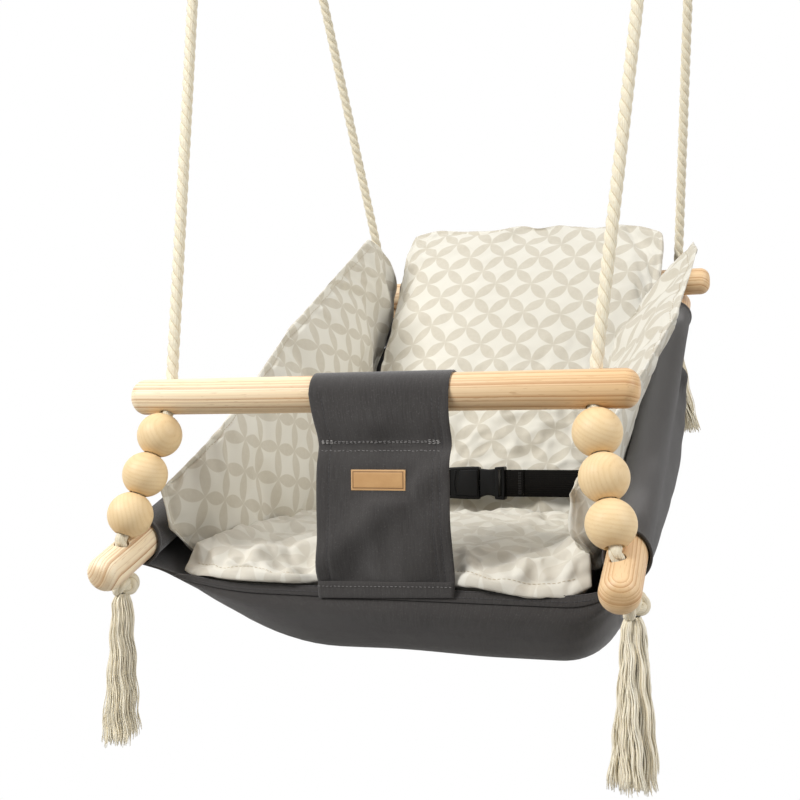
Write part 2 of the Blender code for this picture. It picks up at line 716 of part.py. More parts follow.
def pad(fronts, backs):
    """A closed form from two grids that share their rim."""
    bm = bmesh.new()
    rows = len(fronts)
    columns = len(fronts[0])
    one = [[bm.verts.new(p) for p in line] for line in fronts]
    two = []
    for j in range(rows):
        line = []
        for i in range(columns):
            rim = j in (0, rows - 1) or i in (0, columns - 1)
            line.append(one[j][i] if rim else bm.verts.new(backs[j][i]))
        two.append(line)
    for j in range(rows - 1):
        for i in range(columns - 1):
            bm.faces.new((one[j][i], one[j][i + 1], one[j + 1][i + 1], one[j + 1][i]))
            bm.faces.new((two[j][i], two[j + 1][i], two[j + 1][i + 1], two[j][i + 1]))
    return bm


def on_chain(points, t):
    """The point at a share of a chain's length."""
    lengths = [0.0]
    for p, q in zip(points, points[1:]):
        lengths.append(lengths[-1] + (Vector(q) - Vector(p)).length)
    target = t * lengths[-1]
    for i in range(len(points) - 1):
        if target <= lengths[i + 1] or i == len(points) - 2:
            span = lengths[i + 1] - lengths[i]
            return Vector(points[i]).lerp(Vector(points[i + 1]), (target - lengths[i]) / span)
    return Vector(points[-1])


def coons(bottom, top, left, right, u, v):
    """A point of the patch between four chains that meet at their ends."""
    low = on_chain(bottom, u) * (1 - v) + on_chain(top, u) * v
    side = on_chain(left, v) * (1 - u) + on_chain(right, v) * u
    a, b, c, d = Vector(bottom[0]), Vector(bottom[-1]), Vector(top[0]), Vector(top[-1])
    corners = a * (1 - u) * (1 - v) + b * u * (1 - v) + c * (1 - u) * v + d * u * v
    return low + side - corners


def spread(i, count):
    """Shares of an edge, closer together near its ends."""
    t = i / count
    return t - 0.55 * math.sin(2 * math.pi * t) / (2 * math.pi)


# How far each wing's top edge leans out past the side bar's inner face, by distance back
WING_LEAN = {
    -1: [(-0.020, 0.004), (0.060, -0.004), (0.140, 0.003), (0.220, 0.012), (0.400, 0.010)],
    1: [(-0.020, -0.008), (0.050, 0.000), (0.130, 0.010), (0.230, 0.020), (0.300, 0.031), (0.400, 0.058)],
}


def wing_point(y, z, side):
    """The middle of a wing's thickness at a height and a distance back."""
    bar = side_bar_at(y)
    height = z - bar.z
    top = 0.040 + 0.078 * max(0, min(1, (y + 0.02) / 0.42))
    lean = between(WING_LEAN[side], y) * max(0.0, min(1.2, height / top)) ** 1.3
    inside = bar.x - SLEEVE_R - GAP - WING_T / 2 - 0.0008
    drop = max(0.0, -height - 0.01) * 0.10
    return Vector((side * (inside + lean - drop), y, z))


def wing(name, side, columns=18, rows=12):
    if side < 0:
        top = [Vector((-0.013, -0.073)), Vector((0.402, 0.177))]
        rear = [Vector((0.232, -0.113)), Vector((0.2535, -0.060)), Vector((0.300, -0.030))]
        rear += [Vector((0.372, 0.048)), Vector((0.418, 0.104)), Vector((0.430, 0.144)), top[-1]]
    else:
        top = [Vector((-0.013, -0.073)), Vector((0.345, 0.1427)), Vector((0.398, 0.157))]
        rear = [Vector((0.232, -0.113)), Vector((0.2475, -0.060)), Vector((0.340, 0.035))]
        rear += [Vector((0.388, 0.095)), Vector((0.414, 0.135)), top[-1]]
    front = [Vector((0.050, -0.120)), Vector((-0.002, -0.088)), top[0]]
    bottom = [front[0], rear[0]]
    middle = []
    for j in range(rows + 1):
        line = []
        for i in range(columns + 1):
            p = coons(bottom, top, front, rear, spread(i, columns), spread(j, rows))
            line.append(wing_point(p.x, p.y, side))
        middle.append(line)
    normals = grid_normals(middle)
    fronts = []
    backs = []
    for j in range(rows + 1):
        one = []
        two = []
        for i in range(columns + 1):
            u = spread(i, columns)
            v = spread(j, rows)
            thick = WING_T / 2 * rim_profile(u, v) * (1 + 0.10 * math.sin(math.pi * u) * math.sin(math.pi * v))
            one.append(middle[j][i] + normals[j][i] * thick)
            two.append(middle[j][i] - normals[j][i] * thick)
        fronts.append(one)
        backs.append(two)
    add(name, pad(fronts, backs), (side * 0.155, 0.2, 0), look(name, PRINT, 0.9), 70)


for word, s in SIDES.items():
    wing(f"wing_cushion_{word}", s)


def back_cushion(columns=16, rows=17):
    """The back cushion: a front face that leans back, flatter behind, narrower towards its foot."""
    foot = Vector((0, BELT_Y + 0.0015, -0.112))
    head = Vector((0, 0.455, 0.185))
    rise = head - foot
    behind = Vector((0, rise.z, -rise.y)).normalized()
    fronts = []
    backs = []
    for j in range(rows + 1):
        v = spread(j, rows)
        half = BACK_CUSHION_WIDTH / 2 * (0.945 + 0.055 * v) - 0.003 * math.sin(math.pi * v)
        shift = SOFT_SHIFT * (0.35 + 0.65 * v)
        one = []
        two = []
        for i in range(columns + 1):
            u = spread(i, columns)
            lift = 0.004 * math.sin(math.pi * u) - 0.001
            seam = foot + rise * v + behind * BACK_CUSHION_T * 0.5 + rise.normalized() * lift * (2 * v - 1)
            seam.x = shift + (2 * u - 1) * half
            full = rim_profile(u, v)
            crown = 0.004 * math.sin(math.pi * u) * math.sin(math.pi * v)
            channel = 0.0012 * math.exp(-(((v - 0.5) / 0.012) ** 2))
            one.append(seam - behind * full * (BACK_CUSHION_T * 0.5 + crown - channel))
            two.append(seam + behind * full * BACK_CUSHION_T * 0.46)
        fronts.append(one)
        backs.append(two)
    centre = (foot + head) / 2
    add("back_cushion", pad(fronts, backs), centre, look("back_cushion", PRINT, 0.9), 70)


back_cushion()


# How far the seat cushion's front edge reaches to the left and to the right
LEFT_REACH = 0.154
RIGHT_REACH = 0.163


def seat_cushion(columns=20, rows=15):
    """The seat cushion: a crowned top that rises to the back, its underside lying in the sling, its front over the hem."""
    inner = bmesh.new()
    lines = []
    for line, normals in zip(sling, sling_out):
        lines.append([inner.verts.new(p - n * CANVAS_T / 2) for p, n in zip(line, normals)])
    for a, b in zip(lines, lines[1:]):
        for i in range(len(a) - 1):
            inner.faces.new((a[i], a[i + 1], b[i + 1], b[i]))
    tree = BVHTree.FromBMesh(inner)
    fronts = []
    backs = []
    for j in range(rows + 1):
        v = spread(j, rows)
        one = []
        two = []
        for i in range(columns + 1):
            u = spread(i, columns)
            side = 2 * u - 1
            reach = (LEFT_REACH if side < 0 else RIGHT_REACH) - 0.020 * v
            reach -= 0.006 * min(1.0, max(0.0, (v - 0.08) / 0.10))
            x = side * reach
            from_strap = abs(x - STRAP_CENTRE_X) - STRAP_WIDTH_TOP / 2
            bulge = 0.0065 * max(0.0, min(1.0, from_strap / 0.020)) * (1 - side**8)
            y = -0.0055 - bulge * (1 - v) ** 2 + (0.257 + 0.0055) * v + side**6 * 0.006 * (1 - v) ** 2
            front_seam = -0.1345 - 0.004 * side + 0.005 * max(0.0, -side) ** 6
            seam = front_seam + (-0.118 - front_seam) * min(1.0, 1.15 * v)
            full = rim_profile(u, v)
            hit = tree.ray_cast(Vector((x, y, seam + 0.004)), Vector((0, 0, -1)))[0]
            depth = max(0.0, seam - hit.z - 0.0022) if hit else 0.0
            depth = min(depth, 0.0055 + max(0.0, y - 0.002) * 2.5)
            crown = 0.003 * math.sin(math.pi * u) * math.sin(math.pi * v)
            channel = 0.0012 * math.exp(-(((v - 0.5) / 0.012) ** 2))
            one.append(Vector((x, y, seam + full * (0.012 + crown - channel))))
            two.append(Vector((x, y, seam - full * depth * 0.94)))
        fronts.append(one)
        backs.append(two)
    inner.free()
    add("seat_cushion", pad(fronts, backs), (0, 0.13, -0.15), look("seat_cushion", PRINT, 0.9), 70)


seat_cushion()


# Lap belt and its side-release buckle
def belt(name, start, end):
    low = (min(start, end), BELT_Y - BELT_T / 2, BELT_Z - BELT_WIDTH / 2)
    high = (max(start, end), BELT_Y + BELT_T / 2, BELT_Z + BELT_WIDTH / 2)
    middle = [(a + b) / 2 for a, b in zip(low, high)]
    add(name, box(low, high, 0.0004), middle, look(name, WEBBING, 0.8))


BELT_END_LEFT = -0.150
BELT_END_RIGHT = 0.156
BUCKLE_LEFT = BUCKLE_X - BUCKLE_LENGTH / 2
BUCKLE_SPLIT = BUCKLE_LEFT + 0.035
BUCKLE_RIGHT = BUCKLE_X + BUCKLE_LENGTH / 2
BUCKLE_HALF = BUCKLE_HEIGHT / 2
PRONG_REACH = 0.0190
SLOT_Y = BELT_T / 2 + GAP
SLOT_Z = BELT_WIDTH / 2 + GAP
SLOT_DEPTH = 0.0065

belt("belt_left", BELT_END_LEFT, BUCKLE_LEFT + SLOT_DEPTH - GAP)
belt("belt_right", BUCKLE_RIGHT - SLOT_DEPTH + GAP, BELT_END_RIGHT)


def buckle_box(x0, x1, half_y, z0, z1, bevel=0.0):
    return box((x0, BELT_Y - half_y, BELT_Z + z0), (x1, BELT_Y + half_y, BELT_Z + z1), bevel)


socket = add(
    "buckle_socket",
    buckle_box(BUCKLE_LEFT, BUCKLE_SPLIT, BUCKLE_T / 2, -BUCKLE_HALF, BUCKLE_HALF, 0.0016),
    (BUCKLE_LEFT, BELT_Y, BELT_Z),
    look("buckle_socket", WEBBING, 0.35),
)
cavity_z = BUCKLE_HALF - 0.0030
cavity = buckle_box(BUCKLE_SPLIT - PRONG_REACH - 0.002, BUCKLE_SPLIT + 0.01, 0.0032, -cavity_z, cavity_z)
cut(socket, cutter("socket_cavity", cavity))
slot = buckle_box(BUCKLE_LEFT - 0.01, BUCKLE_LEFT + SLOT_DEPTH, SLOT_Y, -SLOT_Z, SLOT_Z)
cut(socket, cutter("socket_slot", slot))
window = buckle_box(BUCKLE_SPLIT - 0.019, BUCKLE_SPLIT - 0.007, 0.0024, -0.03, 0.03)
cut(socket, cutter("socket_windows", window))

plug = add(
    "buckle_plug",
    buckle_box(BUCKLE_SPLIT + GAP, BUCKLE_RIGHT, BUCKLE_T / 2 - 0.0005, -BUCKLE_HALF, BUCKLE_HALF, 0.0016),
    (BUCKLE_SPLIT, BELT_Y, BELT_Z),
    look("buckle_plug", WEBBING, 0.35),
)
prong_z = cavity_z - 0.0004
prongs = [(-prong_z, -prong_z + 0.0045), (-0.0025, 0.0025), (prong_z - 0.0045, prong_z)]
for i, (z0, z1) in enumerate(prongs):
    rod = cutter(
        f"prong_{i}", buckle_box(BUCKLE_SPLIT - PRONG_REACH, BUCKLE_SPLIT + 0.005, 0.0026, z0, z1, 0.0007)
    )
    modifier = plug.modifiers.new(rod.name, "BOOLEAN")
    modifier.operation = "UNION"
    modifier.solver = "EXACT"
    modifier.object = rod
slot = buckle_box(BUCKLE_RIGHT - SLOT_DEPTH, BUCKLE_RIGHT + 0.01, SLOT_Y, -SLOT_Z, SLOT_Z)
cut(plug, cutter("plug_slot", slot))
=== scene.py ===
"""The looks of a baby's hanging swing seat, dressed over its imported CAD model."""

import json
import math
import random

import bmesh
import bpy
import numpy as np
from mathutils import Matrix, Vector, noise
from mathutils.bvhtree import BVHTree


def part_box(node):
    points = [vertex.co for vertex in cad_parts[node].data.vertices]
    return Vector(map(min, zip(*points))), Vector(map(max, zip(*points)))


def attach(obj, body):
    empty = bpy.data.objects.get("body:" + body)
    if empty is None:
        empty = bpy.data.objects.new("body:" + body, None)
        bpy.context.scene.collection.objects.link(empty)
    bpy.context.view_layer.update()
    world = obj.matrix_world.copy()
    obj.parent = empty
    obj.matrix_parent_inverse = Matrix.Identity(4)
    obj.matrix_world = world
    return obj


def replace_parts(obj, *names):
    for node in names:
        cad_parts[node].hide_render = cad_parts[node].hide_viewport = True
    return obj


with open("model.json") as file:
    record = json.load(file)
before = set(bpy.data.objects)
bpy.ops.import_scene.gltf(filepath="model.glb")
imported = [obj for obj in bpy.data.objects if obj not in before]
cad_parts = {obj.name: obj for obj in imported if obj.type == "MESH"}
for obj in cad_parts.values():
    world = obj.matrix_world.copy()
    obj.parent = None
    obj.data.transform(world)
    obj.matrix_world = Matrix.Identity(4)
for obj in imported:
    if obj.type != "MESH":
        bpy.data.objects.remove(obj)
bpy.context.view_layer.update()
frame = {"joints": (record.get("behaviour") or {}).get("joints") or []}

# Camera: level with the seat and to the right of its middle, turned 20 degrees to the left. Its place,
# its lens and its slight roll were solved from the photograph's beads, bar tips and ropes.
scene = bpy.context.scene
joints = {joint["name"]: joint for joint in frame["joints"]}
bar = Vector(joints["seat_on_front_ropes"]["pos_m"])  # the front bar's centre, from which places are given
lens = bpy.data.cameras.new("camera")
lens.lens = 54.065
lens.sensor_width = 36
camera = bpy.data.objects.new("camera", lens)
yaw, pitch, roll = (math.radians(angle) for angle in (20.126, 1.0, -0.598))
ahead = Vector((-math.sin(yaw) * math.cos(pitch), math.cos(yaw) * math.cos(pitch), math.sin(pitch)))
level = Vector((math.cos(yaw), math.sin(yaw), 0))
above = level.cross(ahead)
right = level * math.cos(roll) + above * math.sin(roll)
up = above * math.cos(roll) - level * math.sin(roll)
turn = Matrix((right, up, -ahead)).transposed().to_4x4()
camera.matrix_world = Matrix.Translation(bar + Vector((0.3287, -0.8293, -0.0209))) @ turn
scene.collection.objects.link(camera)
scene.camera = camera

# Studio: a white room without a horizon, three large soft lamps at a plain level, and a round pale floor
# under the seat that takes its shadow and fades into the room at its edge.
scene.view_settings.view_transform = "Standard"


def colour(code):
    """A linear colour from an sRGB hex code."""
    parts = [int(code[i : i + 2], 16) / 255 for i in (0, 2, 4)]
    return [c / 12.92 if c <= 0.04045 else ((c + 0.055) / 1.055) ** 2.4 for c in parts] + [1.0]


def node(tree, kind, inputs=(), **settings):
    """Adds a shader node, or takes one that is there, and sets its fields and sets or links its inputs.

    Among the inputs a node stands for its first live output, and a hex code for its colour.
    """
    made = kind if isinstance(kind, bpy.types.Node) else tree.nodes.new("ShaderNode" + kind)
    for key, value in settings.items():
        setattr(made, key, value)
    for key, value in inputs.items() if isinstance(inputs, dict) else enumerate(inputs):
        if isinstance(value, bpy.types.Node):
            value = next(socket for socket in value.outputs if socket.enabled)
        if isinstance(value, bpy.types.NodeSocket):
            tree.links.new(value, made.inputs[key])
        else:
            made.inputs[key].default_value = colour(value) if isinstance(value, str) else value
    return made


def mesh_of(name, built):
    """The mesh of a bmesh, which is freed."""
    mesh = bpy.data.meshes.new(name)
    built.to_mesh(mesh)
    built.free()
    return mesh


room = bpy.data.worlds.new("white_room")
room.use_nodes = True
scene.world = room
tree = room.node_tree
tree.nodes.clear()
rays = node(tree, "LightPath")
seen = node(tree, "Math", [rays.outputs["Is Camera Ray"], rays.outputs["Is Glossy Ray"]], operation="ADD")
seen = node(tree, "Math", [seen, rays.outputs["Is Transmission Ray"]], operation="ADD", use_clamp=True)
upward = node(tree, "SeparateXYZ", [node(tree, "TexCoord").outputs["Generated"]]).outputs[2]
level_of_light = node(tree, "MapRange", [upward, -0.3, 0.9, 0.13, 0.66])
daylight = node(tree, "Background", {"Color": "F5F5F6", "Strength": level_of_light})
white = node(tree, "Background", {"Color": "FFFFFF", "Strength": 1.0})
node(tree, "OutputWorld", [node(tree, "MixShader", [seen, daylight, white])])

middle = bar + Vector((0, 0.2, -0.02))
for name, way, size, power in (
    ("key_softbox", (-1.7, -2.0, 1.7), 1.2, 84),
    ("fill_softbox", (2.4, -0.6, 0.9), 1.6, 34),
    ("top_softbox", (-0.2, 0.2, 2.4), 1.8, 8),
):
    lamp = bpy.data.lights.new(name, "AREA")
    lamp.shape = "DISK"
    lamp.size = size
    lamp.energy = power
    softbox = bpy.data.objects.new(name, lamp)
    softbox.location = middle + Vector(way)
    softbox.rotation_euler = (-Vector(way)).to_track_quat("-Z", "Y").to_euler()
    scene.collection.objects.link(softbox)

paper = bpy.data.materials.new("matt_white_paper")
paper.use_nodes = True
tree = paper.node_tree
tree.nodes.clear()
reach = node(tree, "VectorMath", [node(tree, "TexCoord").outputs["Object"]], operation="LENGTH")
fade = node(tree, "MapRange", [reach, 0.40, 0.92, 0.0, 1.0], interpolation_type="SMOOTHSTEP")
fade = node(tree, "Math", [fade, node(tree, "LightPath").outputs["Is Camera Ray"]], operation="MULTIPLY")
sheet = node(tree, "BsdfDiffuse", {"Color": "C4C2BF"})
glow = node(tree, "Emission", {"Color": "FFFFFF", "Strength": 1.0})
node(tree, "OutputMaterial", [node(tree, "MixShader", [fade, sheet, glow])])
disc = bmesh.new()
bmesh.ops.create_circle(disc, cap_ends=True, segments=128, radius=0.94)
mesh = mesh_of("floor", disc)
mesh.materials.append(paper)
floor = bpy.data.objects.new("paper_floor", mesh)
floor.location = bar + Vector((0, 0.224, -0.66))
scene.collection.objects.link(floor)

# Bars: four 28 mm dowels of sanded and oiled pine, their ends rounded over at 10 mm, with drilled rope
# holes. The two side bars run back under the back bar, which is why the seat's sides rise to the rear.
front_hole = Vector((0.168, 0, 0))
back_hole = Vector((0.1665, 0.4845, 0.125))
front_up = Vector((0.0763, 0.2407, 0.9676)).normalized()  # the ropes' directions up from their bars
rear_up = Vector((0.0895, -0.3313, 0.9393)).normalized()
beads_down = Vector((0.1780, -0.3370, -0.9245)).normalized()
DOWEL = 0.014  # radius
ROPE_HOLE = 0.0058  # radius
column = 0.14162  # the beads' line, from the front bar's axis to a side bar's
side_front = front_hole + beads_down * column
side_rear = back_hole - rear_up * 0.0295
side_way = (side_rear - side_front).normalized()
side_span = (side_rear - side_front).length
bend_rise = 0.0036  # the rope turns this far over a side bar, and goes through it square
side_hole = (DOWEL + bend_rise) / math.tan(math.radians(47))
hole_down = (beads_down - side_way * beads_down.dot(side_way)).normalized()
SIDES = (("left", -1), ("right", 1))


def on(side, vector):
    """The same vector on the left (-1) or on the right (1)."""
    return Vector((vector[0] * side, vector[1], vector[2]))


def side_bar(distance, side=1):
    """A point on a side bar's axis, measured back from where the beads' line meets it."""
    return on(side, side_front + side_way * distance)


def finish(name, roughness, settings=()):
    """Starts a material, with its node tree and its surface shader."""
    material = bpy.data.materials.new(name)
    material.use_nodes = True
    tree = material.node_tree
    surface = node(tree, tree.nodes["Principled BSDF"], {"Roughness": roughness, **dict(settings)})
    return material, tree, surface


def added(mesh, name, material, body, smooth_to=None):
    """Puts a mesh into the scene as a piece that rides on a body, smooth up to an angle between its faces."""
    piece = bpy.data.objects.new(name, mesh)
    scene.collection.objects.link(piece)
    mesh.materials.append(material)
    mesh.shade_smooth()
    if smooth_to:
        mesh.set_sharp_from_angle(angle=math.radians(smooth_to))
    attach(piece, body)
    return piece


def skin(start, rows, count, caps=True, turned_in=False):
    """Faces round a tube whose rings of points are numbered from a start, with a cap at each end."""
    faces = []
    for a in range(start, start + (rows - 1) * count, count):
        faces += [(a + i, a + (i + 1) % count, a + (i + 1) % count + count, a + i + count) for i in range(count)]
    if caps:
        last = start + (rows - 1) * count
        faces += [tuple(range(start, start + count))[::-1], tuple(range(last, last + count))]
    return [face[::-1] for face in faces] if turned_in else faces


def tube(name, rings, around=1.0, caps=True):
    """A mesh skin over rings of points, its U round each ring and its V along the way in metres."""
    count = len(rings[0])
    uvs = []
    length = 0.0
    for one, two in zip(rings, rings[1:]):
        step = (sum(two, Vector()) / count - sum(one, Vector()) / count).length
        for i in range(count):
            a, b = i / count * around, (i + 1) / count * around
            uvs += [(a, length), (b, length), (b, length + step), (a, length + step)]
        length += step
    uvs += [(0.5 * around, 0.0)] * (2 * count * caps)
    mesh = bpy.data.meshes.new(name)
    mesh.from_pydata([p for ring in rings for p in ring], [], skin(0, len(rings), count, caps))
    mesh.uv_layers.new(name="UVMap").data.foreach_set("uv", [x for uv in uvs for x in uv])
    return mesh


def revolved(foot, way, profile, around):
    """Rings of points about an axis, from a profile of radii and distances along it."""
    side = way.orthogonal().normalized()
    other = way.cross(side)
    angles = np.linspace(0, 2 * np.pi, around, False)
    return [[foot + way * z + (side * math.cos(a) + other * math.sin(a)) * r for a in angles] for r, z in profile]


def applied(piece, kind, **settings):
    """Gives a piece a modifier and applies it."""
    modifier = piece.modifiers.new(kind, kind)
    for key, value in settings.items():
        setattr(modifier, key, value)
    bpy.context.view_layer.objects.active = piece
    bpy.ops.object.modifier_apply(modifier=modifier.name)


def combined(piece, other_mesh, operation):
    """Joins another solid to a piece, or cuts it out."""
    tool = bpy.data.objects.new("tool", other_mesh)
    scene.collection.objects.link(tool)
    applied(piece, "BOOLEAN", object=tool, solver="EXACT", operation=operation)
    bpy.data.objects.remove(tool)
    bpy.data.meshes.remove(other_mesh)


def oiled_pine(name, axis, centre, heart, slant, tan):
    """Pine, sanded and oiled: pale early wood, with tan late wood lines 2 to 4 mm apart that end abruptly.

    Its growth rings are cut by the dowel itself from rings round a heart line over the bar, so they show as lines
    along it and as nested arcs round its ends.
    """
    wood, tree, surface = finish(name, 0.45, {"Specular IOR Level": 0.35})
    place = node(tree, "VectorMath", [node(tree, "TexCoord").outputs["Object"], centre], operation="SUBTRACT")
    straight = axis.rotation_difference(Vector((1, 0, 0))).to_euler()
    local = node(tree, "VectorRotate", {"Vector": place, "Rotation": straight}, rotation_type="EULER_XYZ")
    from_heart = node(tree, "VectorMath", [local, heart], operation="SUBTRACT")
    crossed = node(tree, "VectorMath", [from_heart, Vector((1, *slant)).normalized()], operation="CROSS_PRODUCT")
    radius = node(tree, "VectorMath", [crossed], operation="LENGTH")
    drift = node(tree, "TexNoise", {"Vector": local, "Scale": 6.0, "Detail": 1.0})
    drifted = node(tree, "Math", [drift, 0.0040, radius], operation="MULTIPLY_ADD")
    count = node(tree, "Math", [drifted, 0.0029], operation="DIVIDE")
    uneven = node(tree, "TexNoise", {"W": count, "Scale": 0.7, "Detail": 1.0}, noise_dimensions="1D")
    count = node(tree, "Math", [uneven, 1.8, count], operation="MULTIPLY_ADD")
    ring = node(tree, "Math", [count], operation="FRACT")
    late = node(tree, "Math", [ring, 2.6], operation="POWER")
    own = node(tree, "TexWhiteNoise", {"W": node(tree, "Math", [count], operation="FLOOR")}, noise_dimensions="1D")
    strength = node(tree, "MapRange", [own, 0.0, 1.0, 0.18, 1.0])
    line = node(tree, "Math", [late, strength], operation="MULTIPLY")
    stretched = node(tree, "Mapping", {"Vector": local, "Scale": (16, 450, 450)})
    fibre = node(tree, "TexNoise", {"Vector": stretched, "Scale": 1.0, "Detail": 3.0})
    along = node(tree, "SeparateXYZ", [local]).outputs[0]
    browner = node(tree, "MapRange", [along, -0.20, 0.20, *tan])
    duct_place = node(tree, "Mapping", {"Vector": local, "Scale": (110, 1500, 1500)})
    duct = node(tree, "TexNoise", {"Vector": duct_place, "Scale": 1.0, "Detail": 0.0})
    duct = node(tree, "MapRange", [duct, 0.70, 0.78, 0.0, 0.30])
    facing = node(tree, "VectorMath", [node(tree, "NewGeometry").outputs["Normal"], axis], operation="DOT_PRODUCT")
    end_grain = node(tree, "MapRange", [node(tree, "Math", [facing], operation="ABSOLUTE"), 0.7, 1.0, 0.0, 0.35])
    shown = node(tree, "Mix", {0: fibre, 6: "FFF2D6", 7: "F8DFB6"}, data_type="RGBA")
    for factor, over in ((browner, "DBAE74"), (line, "B27338"), (duct, "A97440"), (end_grain, "D9AD72")):
        shown = node(tree, "Mix", {0: factor, 6: shown, 7: over}, data_type="RGBA")
    height = node(tree, "Math", [fibre, 0.7, line], operation="MULTIPLY_ADD")
    bump = node(tree, "Bump", {"Height": height, "Strength": 0.12, "Distance": 0.00015})
    node(tree, surface, {"Base Color": shown, "Normal": bump})
    return wood


def dowel(name, replaced, start, end, holes, wood):
    """A dowel between two tips, its ends rounded over, with holes given as a point and a direction."""
    nose = 0.010
    way = (end - start).normalized()
    length = (end - start).length
    nose_line = [(DOWEL - nose * 1.0001, 0.0)]
    nose_line += [
        (DOWEL - nose * (1 - math.sin(math.pi / 20 * i)), nose * (1 - math.cos(math.pi / 20 * i))) for i in range(1, 11)
    ]
    profile = nose_line + [(DOWEL, nose + (length - 2 * nose) * i / 24) for i in range(1, 24)]
    profile += [(r, length - z) for r, z in reversed(nose_line)]
    piece = added(tube(name, revolved(start, way, profile, 72)), name, wood, "seat")
    for point, direction in holes:
        rod = bmesh.new()
        place = Matrix.Translation(point) @ Vector((0, 0, 1)).rotation_difference(direction).to_matrix().to_4x4()
        size = {"radius1": ROPE_HOLE, "radius2": ROPE_HOLE, "depth": 0.06}
        bmesh.ops.create_cone(rod, cap_ends=True, segments=40, matrix=place, **size)
        combined(piece, mesh_of("drill", rod), "DIFFERENCE")
    piece.data.shade_smooth()
    piece.data.set_sharp_from_angle(angle=math.radians(35))
    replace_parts(piece, replaced)


FRONT_OVERHANG = 0.0328  # from a side bar's front hole to its tip
REAR_OVERHANG = 0.026
half_bar = Vector((0.2, 0, 0))
slant = (front_up - beads_down).normalized()
wood = oiled_pine("oiled_pine_front", Vector((1, 0, 0)), bar, Vector((0, -0.006, 0.031)), (0.018, -0.012), (0.0, 0.75))
holes = [(bar + on(s, front_hole), on(s, slant)) for _, s in SIDES]
dowel("pine_front_bar", "front_bar", bar - half_bar, bar + half_bar, holes, wood)
back = bar + Vector((0, back_hole.y, back_hole.z))
wood = oiled_pine("oiled_pine_back", Vector((1, 0, 0)), back, Vector((0, 0.010, 0.028)), (-0.012, 0.015), (0.3, 0.6))
holes = [(bar + on(s, back_hole), on(s, rear_up)) for _, s in SIDES]
dowel("pine_back_bar", "back_bar", back - half_bar, back + half_bar, holes, wood)
for word, s in SIDES:
    brown = (0.0, 0.3) if s < 0 else (0.6, 0.7)
    start = bar + side_bar(side_hole - FRONT_OVERHANG, s)
    end = bar + side_bar(side_span + REAR_OVERHANG, s)
    heart = Vector((0, 0.004 - 0.010 * (s > 0), 0.031))
    wood = oiled_pine(f"oiled_pine_{word}", on(s, side_way), (start + end) / 2, heart, (0.02 * s, 0.03), brown)
    holes = [(bar + side_bar(side_hole, s), on(s, hole_down)), (bar + on(s, side_rear), on(s, rear_up))]
    dowel(f"pine_side_bar_{word}", f"side_bar_{word}", start, end, holes, wood)


# Beads: 35 mm balls of turned and sanded beech, three on each front rope, with a 12 mm bore and a flat
# round each mouth. They rest on each other and turn freely.
def sanded_beech(name, centre, tilt):
    """Beech, sanded and left plain: creamy yellow, with faint soft growth lines about 3 mm apart and fine flecks."""
    wood, tree, surface = finish(name, 0.48, {"Specular IOR Level": 0.3})
    place = node(tree, "VectorMath", [node(tree, "TexCoord").outputs["Object"], centre], operation="SUBTRACT")
    local = node(tree, "VectorRotate", {"Vector": place, "Rotation": tilt}, rotation_type="EULER_XYZ")
    drift = node(tree, "TexNoise", {"Vector": local, "Scale": 45.0, "Detail": 1.0})
    parts = node(tree, "SeparateXYZ", [local])
    across = node(tree, "Math", [drift, 0.006, parts.outputs[0]], operation="MULTIPLY_ADD")
    wave = node(tree, "Math", [across, 2 * math.pi / 0.0031], operation="MULTIPLY")
    line = node(tree, "MapRange", [node(tree, "Math", [wave], operation="SINE"), -0.2, 1.0, 0.0, 0.16])
    cloud = node(tree, "TexNoise", {"Vector": local, "Scale": 60.0, "Detail": 2.0})
    stretched = node(tree, "Mapping", {"Vector": local, "Scale": (1500, 1500, 260)})
    fleck = node(tree, "TexNoise", {"Vector": stretched, "Scale": 1.0, "Detail": 1.0})
    fleck = node(tree, "MapRange", [fleck, 0.62, 0.74, 0.0, 0.18])
    shown = node(tree, "Mix", {0: cloud, 6: "F2DAB0", 7: "E7C692"}, data_type="RGBA")
    for factor, over in ((line, "D3AC76"), (fleck, "B98A55")):
        shown = node(tree, "Mix", {0: factor, 6: shown, 7: over}, data_type="RGBA")
    bump = node(tree, "Bump", {"Height": fleck, "Strength": 0.10, "Distance": 0.0001})
    node(tree, surface, {"Base Color": shown, "Normal": bump})
    return wood


BEAD = 0.0175  # radius
grain_tilts = {
    "left": [(0.3, 0.2, 0.5), (0.1, 1.2, 0.2), (1.2, 0.4, 0.1)],
    "right": [(0.9, 0.5, 1.0), (0.1, 0.1, 0.4), (0.2, 1.4, 0.1)],
}
for word, s in SIDES:
    for i, tilt in enumerate(grain_tilts[word], 1):
        spin = joints[f"bead_{word}_{i}_spin"]
        centre = Vector(spin["pos_m"])
        way = Vector(spin["axis"])
        mouth = math.asin(0.0071 / BEAD)
        bore = [(0.0062, 0.0), (0.0062, 0.0145), (0.0064, 0.0156), (0.0069, 0.0161)]
        ball = [mouth + (math.pi - 2 * mouth) * k / 40 for k in range(41)]
        profile = bore + [(BEAD * math.sin(a), BEAD * math.cos(a)) for a in ball]
        profile += [(r, -z) for r, z in reversed(bore)]
        rings = revolved(centre, way, profile, 64)
        name = f"beech_bead_{word}_{i}"
        wood = sanded_beech(f"sanded_beech_{word}_{i}", centre, tilt)
        bead = added(tube(name, rings, caps=False), name, wood, f"bead_{word}_{i}", 60)
        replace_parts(bead, f"bead_{word}_{i}")

# Ropes: undyed three-strand cotton, 9.8 mm, laid left-handed with a strand every 10 mm. Four hanging ropes
# run taut from their bars to an eye on a ring above the view, and each ends in a short tail beside itself.
ROPE = 0.0098
BESIDE = ROPE + 0.0003  # from a rope's middle to its tail's

